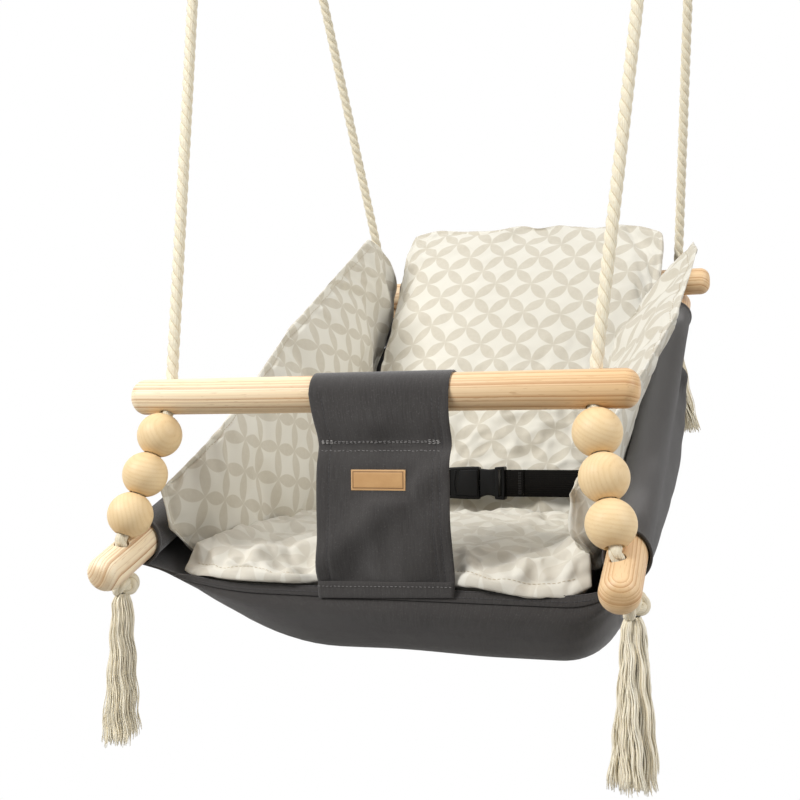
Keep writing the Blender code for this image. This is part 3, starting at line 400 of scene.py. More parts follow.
# Twisted cotton, unbleached: matt cream, its yarns as fine ridges, with painted tan shade in the creases between the
# strands
rope_cotton, tree, surface = finish("undyed_cotton_rope", 0.93, {"Sheen Weight": 0.2})
parts = node(tree, "SeparateXYZ", [node(tree, "UVMap")])
crease = node(tree, "Attribute", attribute_name="crease").outputs["Fac"]
patches = node(tree, "TexNoise", {"Scale": 110.0, "Detail": 3.0})
patches = node(tree, "MapRange", [patches, 0.35, 0.65, 0.0, 1.0])
tone = node(tree, "Mix", {0: patches, 6: "F3ECD6", 7: "EADDC0"}, data_type="RGBA")
# painted shade: darker tan where a point lies deep in the crease between two strands
deep = node(tree, "MapRange", [crease, 0.55, 1.0, 0.0, 0.60])
shown = node(tree, "Mix", {0: deep, 6: tone, 7: "C2AB7C"}, data_type="RGBA")
# 21 yarns show round the rope, and lie nearly along it, because they are twisted against the strands
along = node(tree, "Math", [parts.outputs[1], -1 / 0.034, parts.outputs[0]], operation="MULTIPLY_ADD")
yarns = node(tree, "Math", [node(tree, "Math", [along, 2 * math.pi * 21], operation="MULTIPLY")], operation="SINE")
fibres = node(tree, "TexNoise", {"Scale": 1500.0, "Detail": 2.0})
height = node(tree, "Math", [fibres, 1.2, yarns], operation="MULTIPLY_ADD")
bump = node(tree, "Bump", {"Height": height, "Strength": 0.45, "Distance": 0.00022})
node(tree, surface, {"Base Color": shown, "Normal": bump})


def curve(a, b, c, d, t):
    """The place at a share of the way from b to c, on a smooth curve through four places."""
    return 0.5 * (2 * b + (c - a) * t + (2 * a - 5 * b + 4 * c - d) * t**2 + (3 * b - a - 3 * c + d) * t**3)


def smooth_path(knots, step):
    """Points about one step apart on a smooth curve through the knots."""
    points = [Vector(k) for k in knots]
    ends = [2 * points[0] - points[1]] + points + [2 * points[-1] - points[-2]]
    fine = [points[0]]
    for a, b, c, d in zip(ends, ends[1:], ends[2:], ends[3:]):
        fine += [curve(a, b, c, d, i / 16) for i in range(1, 17)]
    lengths = [0.0]
    for p, q in zip(fine, fine[1:]):
        lengths.append(lengths[-1] + (q - p).length)
    count = max(2, round(lengths[-1] / step))
    result = []
    at = 0
    for i in range(count + 1):
        target = lengths[-1] * i / count
        while at < len(fine) - 2 and lengths[at + 1] < target:
            at += 1
        result.append(fine[at].lerp(fine[at + 1], (target - lengths[at]) / max(1e-9, lengths[at + 1] - lengths[at])))
    return result


def frames_along(points):
    """Along points: each tangent, and two directions across it that don't spin."""
    side = None
    result = []
    for i in range(len(points)):
        tangent = (points[min(i + 1, len(points) - 1)] - points[max(i - 1, 0)]).normalized()
        side = side or tangent.orthogonal()
        side = (side - tangent * side.dot(tangent)).normalized()
        result.append((tangent, side, tangent.cross(side)))
    return result


def laid_rope(name, points, body, diameter=ROPE, lay=0.0310, phase=0.0):
    """A three-strand rope: a three-lobed section that turns once in every lay, left-handed."""
    rings = []
    creases = []
    length = 0.0
    for k, (p, (_, s, b)) in enumerate(zip(points, frames_along(points))):
        length += (p - points[k - 1]).length if k else 0.0
        turn = phase - 2 * math.pi * length / lay
        ring = []
        for i in range(36):
            local = (i % 12) / 12 * 2 * math.pi / 3 - math.pi / 3
            lobe = 0.238 * math.cos(local) + math.sqrt(0.262**2 - (0.238 * math.sin(local)) ** 2)
            lobe = 0.23 + 0.54 * lobe  # the strands are pressed flat against each other
            lobe *= 1 + 0.025 * noise.noise(p * 160 + Vector((i // 12 * 7.3, 0, 0)))
            angle = 2 * math.pi * i / 36 + turn
            ring.append(p + (s * math.cos(angle) + b * math.sin(angle)) * diameter * lobe)
            # how deep in the crease between two strands a point lies, which the rope's material darkens as painted
            # shade
            creases.append(min(1.0, (abs(local) / (math.pi / 3)) ** 3))
        rings.append(ring)
    mesh = tube(name, rings)
    mesh.attributes.new("crease", "FLOAT", "POINT").data.foreach_set("value", creases)
    return added(mesh, name, rope_cotton, body)


def eye_route(foot, up, eye_start, side):
    """From inside the bar's hole up to the eye, round it, and down beside the rope."""

    def at(out, along):
        return bar + foot + up * along - Vector((side, 0, 0)) * out

    lower = [at(0, 0.009), at(0, eye_start * 0.35), at(0, eye_start * 0.7), at(0, eye_start - 0.012)]
    loop = [(0.0010, 0), (0.0110, 0.0150), (0.0188, 0.0312), (0.0176, 0.0456), (0.0100, 0.0567), (0, 0.060)]
    loop += [(-0.0100, 0.0567), (-0.0176, 0.0456), (-0.0192, 0.0300), (-0.0144, 0.0120), (-BESIDE - 0.0010, -0.004)]
    loop += [(-BESIDE, -0.018), (-BESIDE, -0.030)]
    return smooth_path(lower + [at(out, eye_start + along) for out, along in loop], 0.0016)


def whipping(name, foot, up, eye_start, side, body):
    """A few turns of thin twine round a rope and its tail."""
    turns, steps, width, twine = 9, 28, 0.0112, 0.00068
    across = Vector((-side, 0, 0))
    outward = across.cross(up).normalized()
    half = BESIDE / 2
    radius = ROPE / 2 + 0.0011
    middle = bar + foot + up * (eye_start - 0.018) - across * half
    path = []
    for k in range(turns * steps + 1):
        angle = 2 * math.pi * k / steps
        lean = half * max(-1.0, min(1.0, math.cos(angle) * 6))
        climb = up * (k / (turns * steps) - 0.5) * width
        path.append(middle + across * (lean + radius * math.cos(angle)) + outward * radius * math.sin(angle) + climb)
    rings = []
    for p, (_, s, b) in zip(path, frames_along(path)):
        rings.append([p + (s * math.cos(a * 1.0472) + b * math.sin(a * 1.0472)) * twine for a in range(6)])
    return added(tube(name, rings), name, rope_cotton, body)


for word, s in SIDES:
    for end, hole, ascent, eye_start in (("front", front_hole, front_up, 0.395), ("rear", back_hole, rear_up, 0.378)):
        foot, climb, body = on(s, hole), on(s, ascent), f"{end}_ropes"
        route = eye_route(foot, climb, eye_start, s)
        rope = laid_rope(f"hanging_rope_{end}_{word}", route, body, phase=s + len(end))
        twine = whipping(f"eye_whipping_{end}_{word}", foot, climb, eye_start, s, body)
        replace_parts(twine, f"whipping_{end}_{word}")
        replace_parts(rope, f"rope_{end}_{word}")

# Lower ropes: the same rope, through the front bar's holes, down through the beads, and square through the
# side bars to their knots, and straight down from the back bar through the side bars.
for word, s in SIDES:
    slant_here = on(s, slant)
    start = on(s, front_hole) - slant_here * DOWEL
    hole = side_bar(side_hole, s)
    square = on(s, hole_down)
    bend = hole - square * (DOWEL + bend_rise)
    knots = [on(s, front_hole) + slant_here * 0.0125, on(s, front_hole) - slant_here * 0.0014]
    knots += [start.lerp(bend, share) for share in (0.03, 0.25, 0.5, 0.75, 0.93)]
    knots += [bend - square * 0.0004, hole - square * (DOWEL + 0.0006), hole, hole + square * (DOWEL + 0.003)]
    route = smooth_path([bar + knot for knot in knots], 0.0014)
    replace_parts(laid_rope(f"bead_rope_{word}", route, "seat", phase=s), f"rope_lower_front_{word}")
    top = bar + on(s, back_hole) + on(s, rear_up) * 0.0125
    route = smooth_path([top, bar + on(s, side_rear) - on(s, rear_up) * (DOWEL + 0.003)], 0.0016)
    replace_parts(laid_rope(f"rear_rope_{word}", route, "seat", phase=s), f"rope_lower_rear_{word}")

# Knots: each rope ends under its side bar in an overhand knot, pulled tight and flattened against the wood
for end, axis in (("front", hole_down), ("rear", -rear_up)):
    for word, s in SIDES:
        centre = Vector(joints[f"tassel_{end}_{word}_swing"]["pos_m"])
        lay_flat = Vector((0, 0, -1)).rotation_difference(on(s, axis))
        path = []
        for k in range(121):
            t = 2 * math.pi * k / 120
            x = 0.00262 * (math.sin(t) + 2 * math.sin(2 * t))
            y = 0.00262 * (math.cos(t) - 2 * math.cos(2 * t))
            path.append(centre + lay_flat @ Vector((x, y, -0.0036 * math.sin(3 * t))))
        knot = laid_rope(f"rope_knot_{end}_{word}", path, "seat", diameter=0.0086, lay=0.028)
        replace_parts(knot, f"knot_{end}_{word}")


# Tassels: the rope's own yarns, unlaid and combed out below each knot. They keep some of their twist as a
# slow wave, hang plumb, spread towards their ends, and are trimmed unevenly.
NECK_DROP = 0.0075  # from a knot's middle down to where the yarns come out of it
NECK = 0.0050  # radius there
SHOULDER = 0.0082  # and a little lower


def tassel(end, word, yarns, length, spread, lean, seed):
    """Thin wavy yarns in one mesh, in locks that part from each other, from a tight neck to a flared end."""
    centre = Vector(joints[f"tassel_{end}_{word}_swing"]["pos_m"])
    draw = random.Random(seed)
    locks = []
    for _ in range(13):
        angle = draw.uniform(0, 2 * math.pi)
        share = math.sqrt(draw.uniform(0.0, 0.62))
        locks.append((share * math.cos(angle), share * math.sin(angle), draw.uniform(0, 6.28), draw.uniform(0.93, 1.0)))
    verts = []
    faces = []
    tones = []
    sides, rows = 4, 30
    for _ in range(yarns):
        lock = draw.choice(locks)
        angle = draw.uniform(0, 2 * math.pi)
        own = 0.42 * math.sqrt(draw.uniform(0, 1))
        across, deep = lock[0] + own * math.cos(angle), lock[1] + own * math.sin(angle)
        reach = length * lock[3] * draw.uniform(0.94, 1.0)
        radius = draw.uniform(0.00036, 0.00052)
        phase = lock[2] + draw.uniform(-0.5, 0.5)
        wave = draw.uniform(0.0005, 0.0010)
        stray = draw.uniform(-0.005, 0.005) if draw.random() < 0.12 else 0.0
        tone = draw.random()
        start = len(verts)
        for k in range(rows + 1):
            t = k / rows
            flare = NECK + (SHOULDER - NECK) * min(1, t / 0.06) + (spread - SHOULDER) * t**1.15
            twist = 0.9 * t
            x = across * math.cos(twist) - deep * math.sin(twist)
            y = across * math.sin(twist) + deep * math.cos(twist)
            curl = wave * min(1, 8 * t)
            x = x * flare + curl * math.sin(reach * t / 0.0048 + phase) + stray * t * t + lean * t * t
            y = y * flare + curl * math.cos(reach * t / 0.0048 + phase)
            thin = radius * (1 - 0.5 * max(0, (t - 0.96) / 0.04))
            down = -NECK_DROP - reach * t
            for angle in [2 * math.pi * i / sides for i in range(sides)]:
                verts.append(centre + Vector((x + thin * math.cos(angle), y + thin * math.sin(angle), down)))
                tones.append(tone * (0.75 + 0.25 * t))
        faces += skin(start, rows + 1, sides, turned_in=True)
    name = f"yarn_tassel_{end}_{word}"
    mesh = bpy.data.meshes.new(name)
    mesh.from_pydata(verts, [], faces)
    mesh.attributes.new("tone", "FLOAT", "POINT").data.foreach_set("value", tones)
    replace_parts(added(mesh, name, combed_cotton, f"tassel_{end}_{word}"), f"tassel_{end}_{word}")


# Combed cotton yarn: soft and matt, each yarn a slightly different cream, a little browner towards its end
combed_cotton, tree, surface = finish("combed_cotton_yarn", 0.9, {"Sheen Weight": 0.6})
tone = node(tree, "Attribute", attribute_name="tone").outputs["Fac"]
shown = node(tree, "Mix", {0: tone, 6: "FFF9E6", 7: "FCEFD0"}, data_type="RGBA")
fibres = node(tree, "TexNoise", {"Scale": 1600.0, "Detail": 2.0})
bump = node(tree, "Bump", {"Height": fibres, "Strength": 0.5, "Distance": 0.0002})
node(tree, surface, {"Base Color": shown, "Normal": bump})
tassel("front", "left", 430, 0.117, 0.0150, -0.003, 3)
tassel("front", "right", 430, 0.119, 0.0160, 0.0, 8)
tassel("rear", "left", 280, 0.108, 0.0150, 0.001, 21)
tassel("rear", "right", 280, 0.108, 0.0190, 0.006, 34)

# Hanging rings: 6 mm steel wire bent and welded round, with the rope's eye over each, just above the view
# Satin steel: grey and brushed, with a soft streaked gloss
wire, tree, surface = finish("satin_steel_wire", 0.28, {"Metallic": 1.0, "Base Color": "C9CACC"})
scuffs = node(tree, "TexNoise", {"Scale": 220.0, "Detail": 4.0})
node(tree, surface, {"Roughness": node(tree, "MapRange", [scuffs, 0.3, 0.7, 0.2, 0.36])})
for end in ("front", "rear"):
    for word, _ in SIDES:
        low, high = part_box(f"hang_ring_{end}_{word}")
        section = [(0.018 + 0.003 * math.cos(b), 0.003 * math.sin(b)) for b in np.linspace(0, 2 * np.pi, 20, False)]
        rings = []
        for a in np.linspace(0, 2 * np.pi, 64, False):
            out = Vector((0, math.cos(a), math.sin(a)))
            rings.append([(low + high) / 2 + out * r + Vector((x, 0, 0)) for r, x in section])
        name = f"steel_ring_{end}_{word}"
        mesh = tube(name, rings + rings[:1], caps=False)
        ring = added(mesh, name, wire, "hang_rings")
        weld = bmesh.new()
        weld.from_mesh(mesh)
        bmesh.ops.remove_doubles(weld, verts=weld.verts, dist=1e-6)
        weld.to_mesh(mesh)
        weld.free()
        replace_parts(ring, name.replace("steel_ring", "hang_ring"))

# Canvas: the sling is charcoal cotton canvas, 1.6 mm thick. One grid of points runs from the front hem down,
# back under the seat and up to the back bar; it is cut into a seat panel and two side panels, sewn together.
def plain_weave(tree, pitch):
    """The height of a plain weave: warp and weft as waves over the UV map."""
    parts = node(tree, "SeparateXYZ", [node(tree, "UVMap")]).outputs[:2]
    turns = [node(tree, "Math", [part, 2 * math.pi / pitch], operation="MULTIPLY") for part in parts]
    warp, weft = (node(tree, "Math", [turn], operation="SINE") for turn in turns)
    return node(tree, "Math", [warp, weft], operation="MULTIPLY")


# Dyed plain weave, dark and matt, with a slight nap that greys it where it is seen from the side
napped = {"Sheen Weight": 0.42, "Sheen Roughness": 0.5, "Specular IOR Level": 0.12}
canvas, tree, surface = finish("charcoal_cotton_canvas", 0.86, napped)
weave = plain_weave(tree, 0.00095)  # its cords are 0.6 mm apart, but drawn coarser, so that the weave shows
place = node(tree, "TexCoord").outputs["Object"]
wear = node(tree, "TexNoise", {"Vector": place, "Scale": 24.0, "Detail": 3.0})
slub_place = node(tree, "Mapping", {"Vector": node(tree, "UVMap"), "Scale": (1100, 70, 1)})
slub = node(tree, "TexNoise", {"Vector": slub_place, "Scale": 1.0, "Detail": 2.0})
slub_shade = node(tree, "MapRange", [slub, 0.35, 0.75, 0.0, 0.4])
lint = node(tree, "TexNoise", {"Vector": place, "Scale": 950.0, "Detail": 2.0})
lint_shade = node(tree, "MapRange", [lint, 0.58, 0.8, 0.0, 0.35])
shown = node(tree, "Mix", {0: wear, 6: "353231", 7: "423F3D"}, data_type="RGBA")
for factor, over in ((slub_shade, "504E4C"), (lint_shade, "6C6967")):
    shown = node(tree, "Mix", {0: factor, 6: shown, 7: over}, data_type="RGBA")
height = node(tree, "Math", [lint, 1.5, weave], operation="MULTIPLY_ADD")
bump = node(tree, "Bump", {"Height": height, "Strength": 0.4, "Distance": 0.0002})
node(tree, surface, {"Base Color": shown, "Normal": bump})

# centre back and up, the bottom's reach to the left and right, the side bar's distance, the left and right
# corner radii, and the side's belly
SLING_ROWS = [
    (-0.0040, -0.1450, 0.1412, 0.1540, 0.046, 0.030, 0.026, 0.0000),
    (-0.0080, -0.1578, 0.1290, 0.1560, 0.052, 0.052, 0.028, 0.0000),
    (-0.0060, -0.1665, 0.1215, 0.1567, 0.060, 0.066, 0.030, 0.0000),
    (0.0030, -0.1790, 0.1170, 0.1568, 0.072, 0.072, 0.031, 0.0000),
    (0.0220, -0.1925, 0.1123, 0.1555, 0.092, 0.074, 0.032, 0.0010),
    (0.0600, -0.1945, 0.1197, 0.1564, 0.130, 0.072, 0.034, 0.0040),
    (0.1200, -0.1920, 0.1321, 0.1547, 0.188, 0.062, 0.036, 0.0065),
    (0.2000, -0.1764, 0.1470, 0.1521, 0.268, 0.050, 0.036, 0.0107),
    (0.2680, -0.1490, 0.1530, 0.1532, 0.340, 0.045, 0.036, 0.0119),
    (0.3050, -0.1090, 0.1560, 0.1554, 0.395, 0.042, 0.036, 0.0114),
    (0.3420, -0.0520, 0.1580, 0.1591, 0.440, 0.040, 0.034, 0.0135),
    (0.3760, -0.0010, 0.1560, 0.1586, 0.474, 0.034, 0.030, 0.0190),
    (0.4260, 0.0560, 0.1430, 0.1430, 0.516, 0.018, 0.018, 0.0040),
    (0.4730, 0.1100, 0.1380, 0.1380, 0.560, 0.012, 0.012, 0.0000),
]
# where round its sleeve a side panel is sewn: degrees below straight outwards, by distance along the bar
SEWN_AT = [(0.046, 85), (0.16, 45), (0.40, 50), (0.47, 95), (0.56, 172)]
CLOTH = 0.0008  # half the canvas's thickness
SIDE = 20  # steps up each side
soft_shift = 0.012  # the sling and its inserts have slid this far to the right


def within(x):
    """A share held between 0 and 1."""
    return max(0.0, min(1.0, x))


def bell(x, width):
    """A smooth bump of height 1 at 0, which falls off over a width."""
    return math.exp(-((x / width) ** 2))


def between(pairs, x):
    """A value read from (place, value) pairs by straight lines."""
    return float(np.interp(x, [a for a, _ in pairs], [b for _, b in pairs]))


def half_section(row, side):
    """Half of a section of the sling as points, from its middle outwards."""
    y, z, left, right, distance, corner_left, corner_right, belly = row
    half = left if side < 0 else right
    around = math.radians(between(SEWN_AT, distance))
    top = side_bar(distance, side) + Vector((side * math.cos(around), 0, -math.sin(around))) * 0.0186
    shift = soft_shift * within((SLING_ROWS[-1][0] - y) / 0.1)
    centre = Vector((shift, y, z))
    corner = Vector((shift + half * side, y, z))
    radius = min(corner_left if side < 0 else corner_right, 0.6 * (top - corner).length, 0.6 * half)
    start = corner + (centre - corner).normalized() * radius
    end = corner + (top - corner).normalized() * radius
    points = [centre.lerp(start, i / 28) for i in range(28)]
    for i in range(12):
        t = i / 12
        points.append(start * (1 - t) ** 2 + corner * 2 * t * (1 - t) + end * t**2)
    outward = (top - corner).normalized().cross(Vector((0, 1, 0)))
    outward = Vector((abs(outward.x) * side, outward.y, -abs(outward.z)))
    for i in range(SIDE + 1):
        points.append(end.lerp(top, i / SIDE) + outward * belly * math.sin(math.pi * i / SIDE) ** 2)
    return points


def grid_normals(grid, place, way):
    """Unit normals of a grid of points, turned so that at one place they point along a direction."""
    normals = np.cross(np.gradient(grid, axis=1), np.gradient(grid, axis=0))
    normals /= np.maximum(np.linalg.norm(normals, axis=2, keepdims=True), 1e-12)
    return normals if np.dot(normals[place], way) > 0 else -normals


def closed(name, verts, faces, uvs):
    """A closed mesh with its faces turned outwards, and a UV for each of its points."""
    mesh = bpy.data.meshes.new(name)
    mesh.from_pydata(verts, [], faces)
    made = bmesh.new()
    made.from_mesh(mesh)
    bmesh.ops.recalc_face_normals(made, faces=made.faces)
    if made.calc_volume(signed=True) < 0:
        bmesh.ops.reverse_faces(made, faces=made.faces)
    made.to_mesh(mesh)
    made.free()
    flat = [x for loop in mesh.loops for x in uvs[loop.vertex_index]]
    mesh.uv_layers.new(name="UVMap").data.foreach_set("uv", flat)
    return mesh


def cloth(name, grid, normals, near, far):
    """A closed panel between two offsets of a grid of points, with rounded edges and UVs in metres."""
    rows, columns = grid.shape[:2]
    down = np.concatenate([[0], np.cumsum(np.linalg.norm(np.diff(grid[:, columns // 2], axis=0), axis=1))])
    over = np.concatenate([[0], np.cumsum(np.linalg.norm(np.diff(grid[rows // 2], axis=0), axis=1))])
    verts = np.concatenate([(grid + normals * near).reshape(-1, 3), (grid + normals * far).reshape(-1, 3)]).tolist()
    faces = []
    for a in (j * columns + i for j in range(rows - 1) for i in range(columns - 1)):
        face = (a, a + 1, a + columns + 1, a + columns)
        faces += [face, [rows * columns + k for k in face[::-1]]]
    edge = [(0, i) for i in range(columns)] + [(j, columns - 1) for j in range(1, rows)]
    edge += [(rows - 1, i) for i in range(columns - 2, -1, -1)] + [(j, 0) for j in range(rows - 2, 0, -1)]
    first = len(verts)
    for j, i in edge:
        inner = grid[min(max(j, 1), rows - 2), min(max(i, 1), columns - 2)]
        out = (grid[j, i] - inner) / np.linalg.norm(grid[j, i] - inner)
        middle = grid[j, i] + normals[j, i] * (near + far) / 2
        verts.append((middle + out * (far - near) / 2).tolist())
    for k, (one, two) in enumerate(zip(edge, edge[1:] + edge[:1])):
        a, b = one[0] * columns + one[1], two[0] * columns + two[1]
        c, d = first + k, first + (k + 1) % len(edge)
        faces += [(b, a, c, d), (rows * columns + a, rows * columns + b, d, c)]
    places = [(j, i) for j in range(rows) for i in range(columns)] * 2 + edge
    mesh = closed(name, verts, faces, [(over[i], down[j]) for j, i in places])
    return added(mesh, name, canvas, "seat", 75)


known = np.array(SLING_ROWS[:1] + SLING_ROWS + SLING_ROWS[-1:])
sections = [curve(*four, i / 6) for four in zip(known, known[1:], known[2:], known[3:]) for i in range(6)]
sections.append(known[-1])
sling = np.array([[list(bar + p) for p in half_section(r, -1)[::-1][:-1] + half_section(r, 1)] for r in sections])
outside = grid_normals(sling, (len(sections) // 2, sling.shape[1] // 2), (0, 0, -1))
for j in range(sling.shape[0]):
    for i in range(sling.shape[1]):
        p = Vector(sling[j, i]) - bar
        edges = min(1.0, 5 * j / sling.shape[0], 5 * (sling.shape[0] - 1 - j) / sling.shape[0])
        broad = noise.noise(Vector((p.x * 11, p.y * 16, p.z * 11 + 4)))
        # the cloth is drawn towards the side bars at the front, in long folds that run up to them
        drawn = noise.noise(Vector(((p.y + 0.5 * p.z) * 42, 0.4 * p.z * 40, 7.0 + p.x * 6)))
        upper = within((abs(p.x - soft_shift) - 0.10) / 0.03)
        sling[j, i] += outside[j, i] * edges * (0.0017 * broad + 0.0005 * drawn * upper)
seat_columns = slice(SIDE, sling.shape[1] - SIDE)
seat_panel = cloth("canvas_seat_panel", sling[:, seat_columns], outside[:, seat_columns], -CLOTH, CLOTH)
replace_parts(seat_panel, "canvas_seat")

# Hem: the front wall's top edge, folded over 6 mm and sewn down, with the crotch strap's end caught under it
STRAP_X = 0.0125  # the strap's middle
hem_rows = slice(0, 4)
hem_grid = sling[hem_rows, seat_columns].copy()
hem_grid[0] += (hem_grid[0] - hem_grid[1]) / np.linalg.norm(hem_grid[0] - hem_grid[1], axis=1, keepdims=True) * 0.0009
hem = cloth("canvas_front_hem", hem_grid, outside[hem_rows, seat_columns], 0.0011, 0.0027)
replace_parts(hem, "front_hem")

# Side panels and sleeves: each panel goes over its bar and is sewn back to itself, so the sleeve is drawn out
# to a point where the two plies meet, and its mouth has a rolled rim
SLEEVE = 0.0159  # outer radius
SLEEVE_START, SLEEVE_END = 0.044, 0.562  # along a side bar


def sleeve(name, start, end, tips, side, lean):
    """A pocket of canvas on a bar, drawn out to a point that lies at an angle below straight outwards."""
    way = (end - start).normalized()
    outward = (side - way * way.dot(side)).normalized()
    down = way.cross(outward)
    down = down if down.z < 0 else -down
    length = (end - start).length
    mouth = [(0.0, -0.0007), (-0.0007, -0.0003), (-0.0010, 0.0006), (-0.0004, 0.0014), (0.0012, 0.0013)]
    mouth.append((0.0030, 0.0003))
    stops = mouth + [(0.005 + (length - 0.010) * k / 80, 0.0) for k in range(81)]
    stops += [(length - z, rise) for z, rise in reversed(mouth)]
    rings = []
    for z, rise in stops:
        tip = math.radians(between(tips, z))
        slope = lean * max(0.0, 1 - z / 0.08)
        ring = []
        for i in range(56):
            a = 2 * math.pi * i / 56
            off = abs((a - tip + math.pi) % (2 * math.pi) - math.pi)
            pulled = min(0.0196, SLEEVE / math.cos(min(off, 0.9))) if off < 0.9 else SLEEVE
            radius = SLEEVE + (pulled - SLEEVE) * max(0.0, 1 - off / 0.62) ** 0.8 + rise
            radius *= 1 + 0.010 * noise.noise(Vector((math.cos(a) * 2, math.sin(a) * 2, z * 26 + side.x)))
            ring.append(start + way * (z - slope * math.sin(a)) + (outward * math.cos(a) + down * math.sin(a)) * radius)
        rings.append(ring)
    return added(tube(name, rings, around=0.1, caps=False), name, canvas, "seat")


for word, s in SIDES:
    columns = slice(0, SIDE + 1) if s < 0 else slice(-SIDE - 1, None)
    panel = cloth(f"canvas_side_panel_{word}", sling[:, columns], outside[:, columns], -CLOTH, CLOTH)
    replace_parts(panel, f"canvas_side_{word}")
    tips = [(distance - SLEEVE_START, angle) for distance, angle in SEWN_AT]
    ends = bar + side_bar(SLEEVE_START, s), bar + side_bar(SLEEVE_END, s)
    pocket = sleeve(f"canvas_sleeve_{word}", *ends, tips, Vector((s, 0, 0)), 0.006)
    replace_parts(pocket, f"sleeve_{word}")
    sheet = {"flat": (0.56, 0.14), "area": 0.034, "held": "hung"}
half_pocket = Vector((0.145, 0, 0))
ends = back - half_pocket, back + half_pocket
pocket = sleeve("canvas_back_sleeve", *ends, [(0, 52.5), (1, 52.5)], Vector((0, -1, 0)), 0.0)
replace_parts(pocket, "sleeve_back")

# Crotch strap: canvas folded in three to 108 mm wide. It comes up from the hem, goes round the front bar, and
# is sewn to its own back with two rows of light thread; a turned-in edge shows as seams along its sides.
STRAP_RADIUS = 0.0151  # round the front bar
RIGHT_SEAMS = (-0.0066, -0.0117)  # from the strap's right edge
LEFT_SEAM = 0.0088  # from its left edge
PATCH = Vector((0.0135, -0.0158, -0.0635))  # the patch's middle, on the strap
PATCH_HALF = (0.0210, 0.0075)
PATCH_LINE = 0.0016  # its border line, in from its edge
left_edge = [(-0.1560, -0.0380), (-0.1400, -0.0375), (-0.108, -0.0352), (-0.079, -0.0346), (-0.0455, -0.0338)]
left_edge += [(-0.030, -0.0350), (-0.020, -0.0372), (-0.0100, -0.0396), (0.0, -0.0412)]
right_edge = [(-0.1560, 0.0668), (-0.1400, 0.0672), (-0.108, 0.0675), (-0.0455, 0.0674), (-0.013, 0.0664)]
front_line = [(-0.0070, -0.1465), (-0.0080, -0.1400), (-0.0130, -0.1200)]
front_line += [(-0.0162, -0.0980), (-0.0163, -0.0780), (-0.0156, -0.0560), (-0.0153, -0.0300), (-STRAP_RADIUS, 0.0)]
front_points = smooth_path([(0, y, z) for y, z in front_line], 0.0030)
strap_line = [(p.y, p.z) for p in front_points]
turned_at = len(strap_line)
bends = [math.pi * i / 24 for i in range(1, 25)]
strap_line += [(-STRAP_RADIUS * math.cos(a), STRAP_RADIUS * math.sin(a)) for a in bends]
back_ply = [(STRAP_RADIUS, 0.0), (0.0140, -0.008), (0.0083, -0.0165), (0.0015, -0.0245)]
back_ply += [(-0.0062, -0.0305), (-0.0092, -0.037), (-0.0098, -0.047)]
strap_line += [(p.y, p.z) for p in smooth_path([(0, y, z) for y, z in back_ply], 0.004)[1:]]
strap_grid = np.zeros((len(strap_line), 61, 3))
for j, (y, z) in enumerate(strap_line):
    low, high = (between(edge, min(z, 0.0)) for edge in (left_edge, right_edge))
    high -= 0.009 * within(-z / 0.015) if j > turned_at else 0.0  # the ply behind is narrower
    strap_grid[j] = [[x, y, z] for x in np.linspace(low, high, 61)]
strap_out = grid_normals(strap_grid, (turned_at // 2, 30), (0, -1, 0))
for j in range(turned_at):
    for i in range(61):
        x, y, z = strap_grid[j, i]
        low, high = strap_grid[j, 0, 0], strap_grid[j, -1, 0]
        free = within((-0.013 - z) / 0.02) * within((z + 0.146) / 0.012)
        under_patch = within(max(abs(x - PATCH.x) - PATCH_HALF[0], abs(z - PATCH.z) - PATCH_HALF[1]) / 0.010)
        fold = 0.0042 * noise.noise(Vector(((1.4 * x - z) * 17 + 0.4, 0.0, (x + 1.4 * z) * 5 + 3.1)))
        fold += 0.0018 * noise.noise(Vector((x * 60, 1.3, z * 10)))
        fold += 0.0018 * max(0.0, 1 - abs(z + 0.024) / 0.014) * noise.noise(Vector((x * 42, 5.2, z * 20)))
        over_ridge = -0.585 * (x - 0.018) + 0.811 * (z + 0.086)  # a broad fold from the upper right to the lower left
        fold += 0.0042 * bell(over_ridge, 0.011)
        dent = -0.0011 * bell(z + 0.039, 0.0035) - 0.0044 * bell(z + 0.037, 0.013)
        seams = sum(bell(x - line, 0.0007) for line in (high + RIGHT_SEAMS[0], high + RIGHT_SEAMS[1], low + LEFT_SEAM))
        edge_roll = 0.0006 * max(bell(x - low, 0.004), bell(x - high, 0.004))
        relief = free * under_patch * (fold + dent) - 0.0006 * seams * under_patch + edge_roll
        strap_grid[j, i] += strap_out[j, i] * relief
strap_grid += np.array(bar)
strap = cloth("canvas_crotch_strap", strap_grid, strap_out, -CLOTH, CLOTH)
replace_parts(strap, "crotch_strap")


# Foot band: an 11 mm strip of the canvas sewn over the strap's end, from edge to edge, a little higher at the right
strap_face_y = [(z, y) for y, z in front_line]
foot_grid = np.zeros((5, 53, 3))
for j in range(5):
    for i, x in enumerate(np.linspace(-0.0372, 0.0670, 53)):
        share = i / 52
        z = (-0.1398 + 0.0027 * share) * (1 - j / 4) + (-0.1508 + 0.0038 * share) * j / 4
        foot_grid[j, i] = bar + Vector((x, between(strap_face_y, z) - 0.0027, z))
foot_out = grid_normals(foot_grid, (2, 26), (0, -1, 0))
foot_band = cloth("canvas_strap_foot_band", foot_grid, foot_out, -CLOTH, CLOTH)
strap_face = BVHTree.FromPolygons([v.co for v in strap.data.vertices], [tuple(p.vertices) for p in strap.data.polygons])


def on_strap(x, z, above):
    """A point over the strap's front face."""
    hit, normal, _, _ = strap_face.ray_cast(bar + Vector((x, -0.1, z)), Vector((0, 1, 0)))
    return hit + normal * above * (1 if normal.y < 0 else -1)


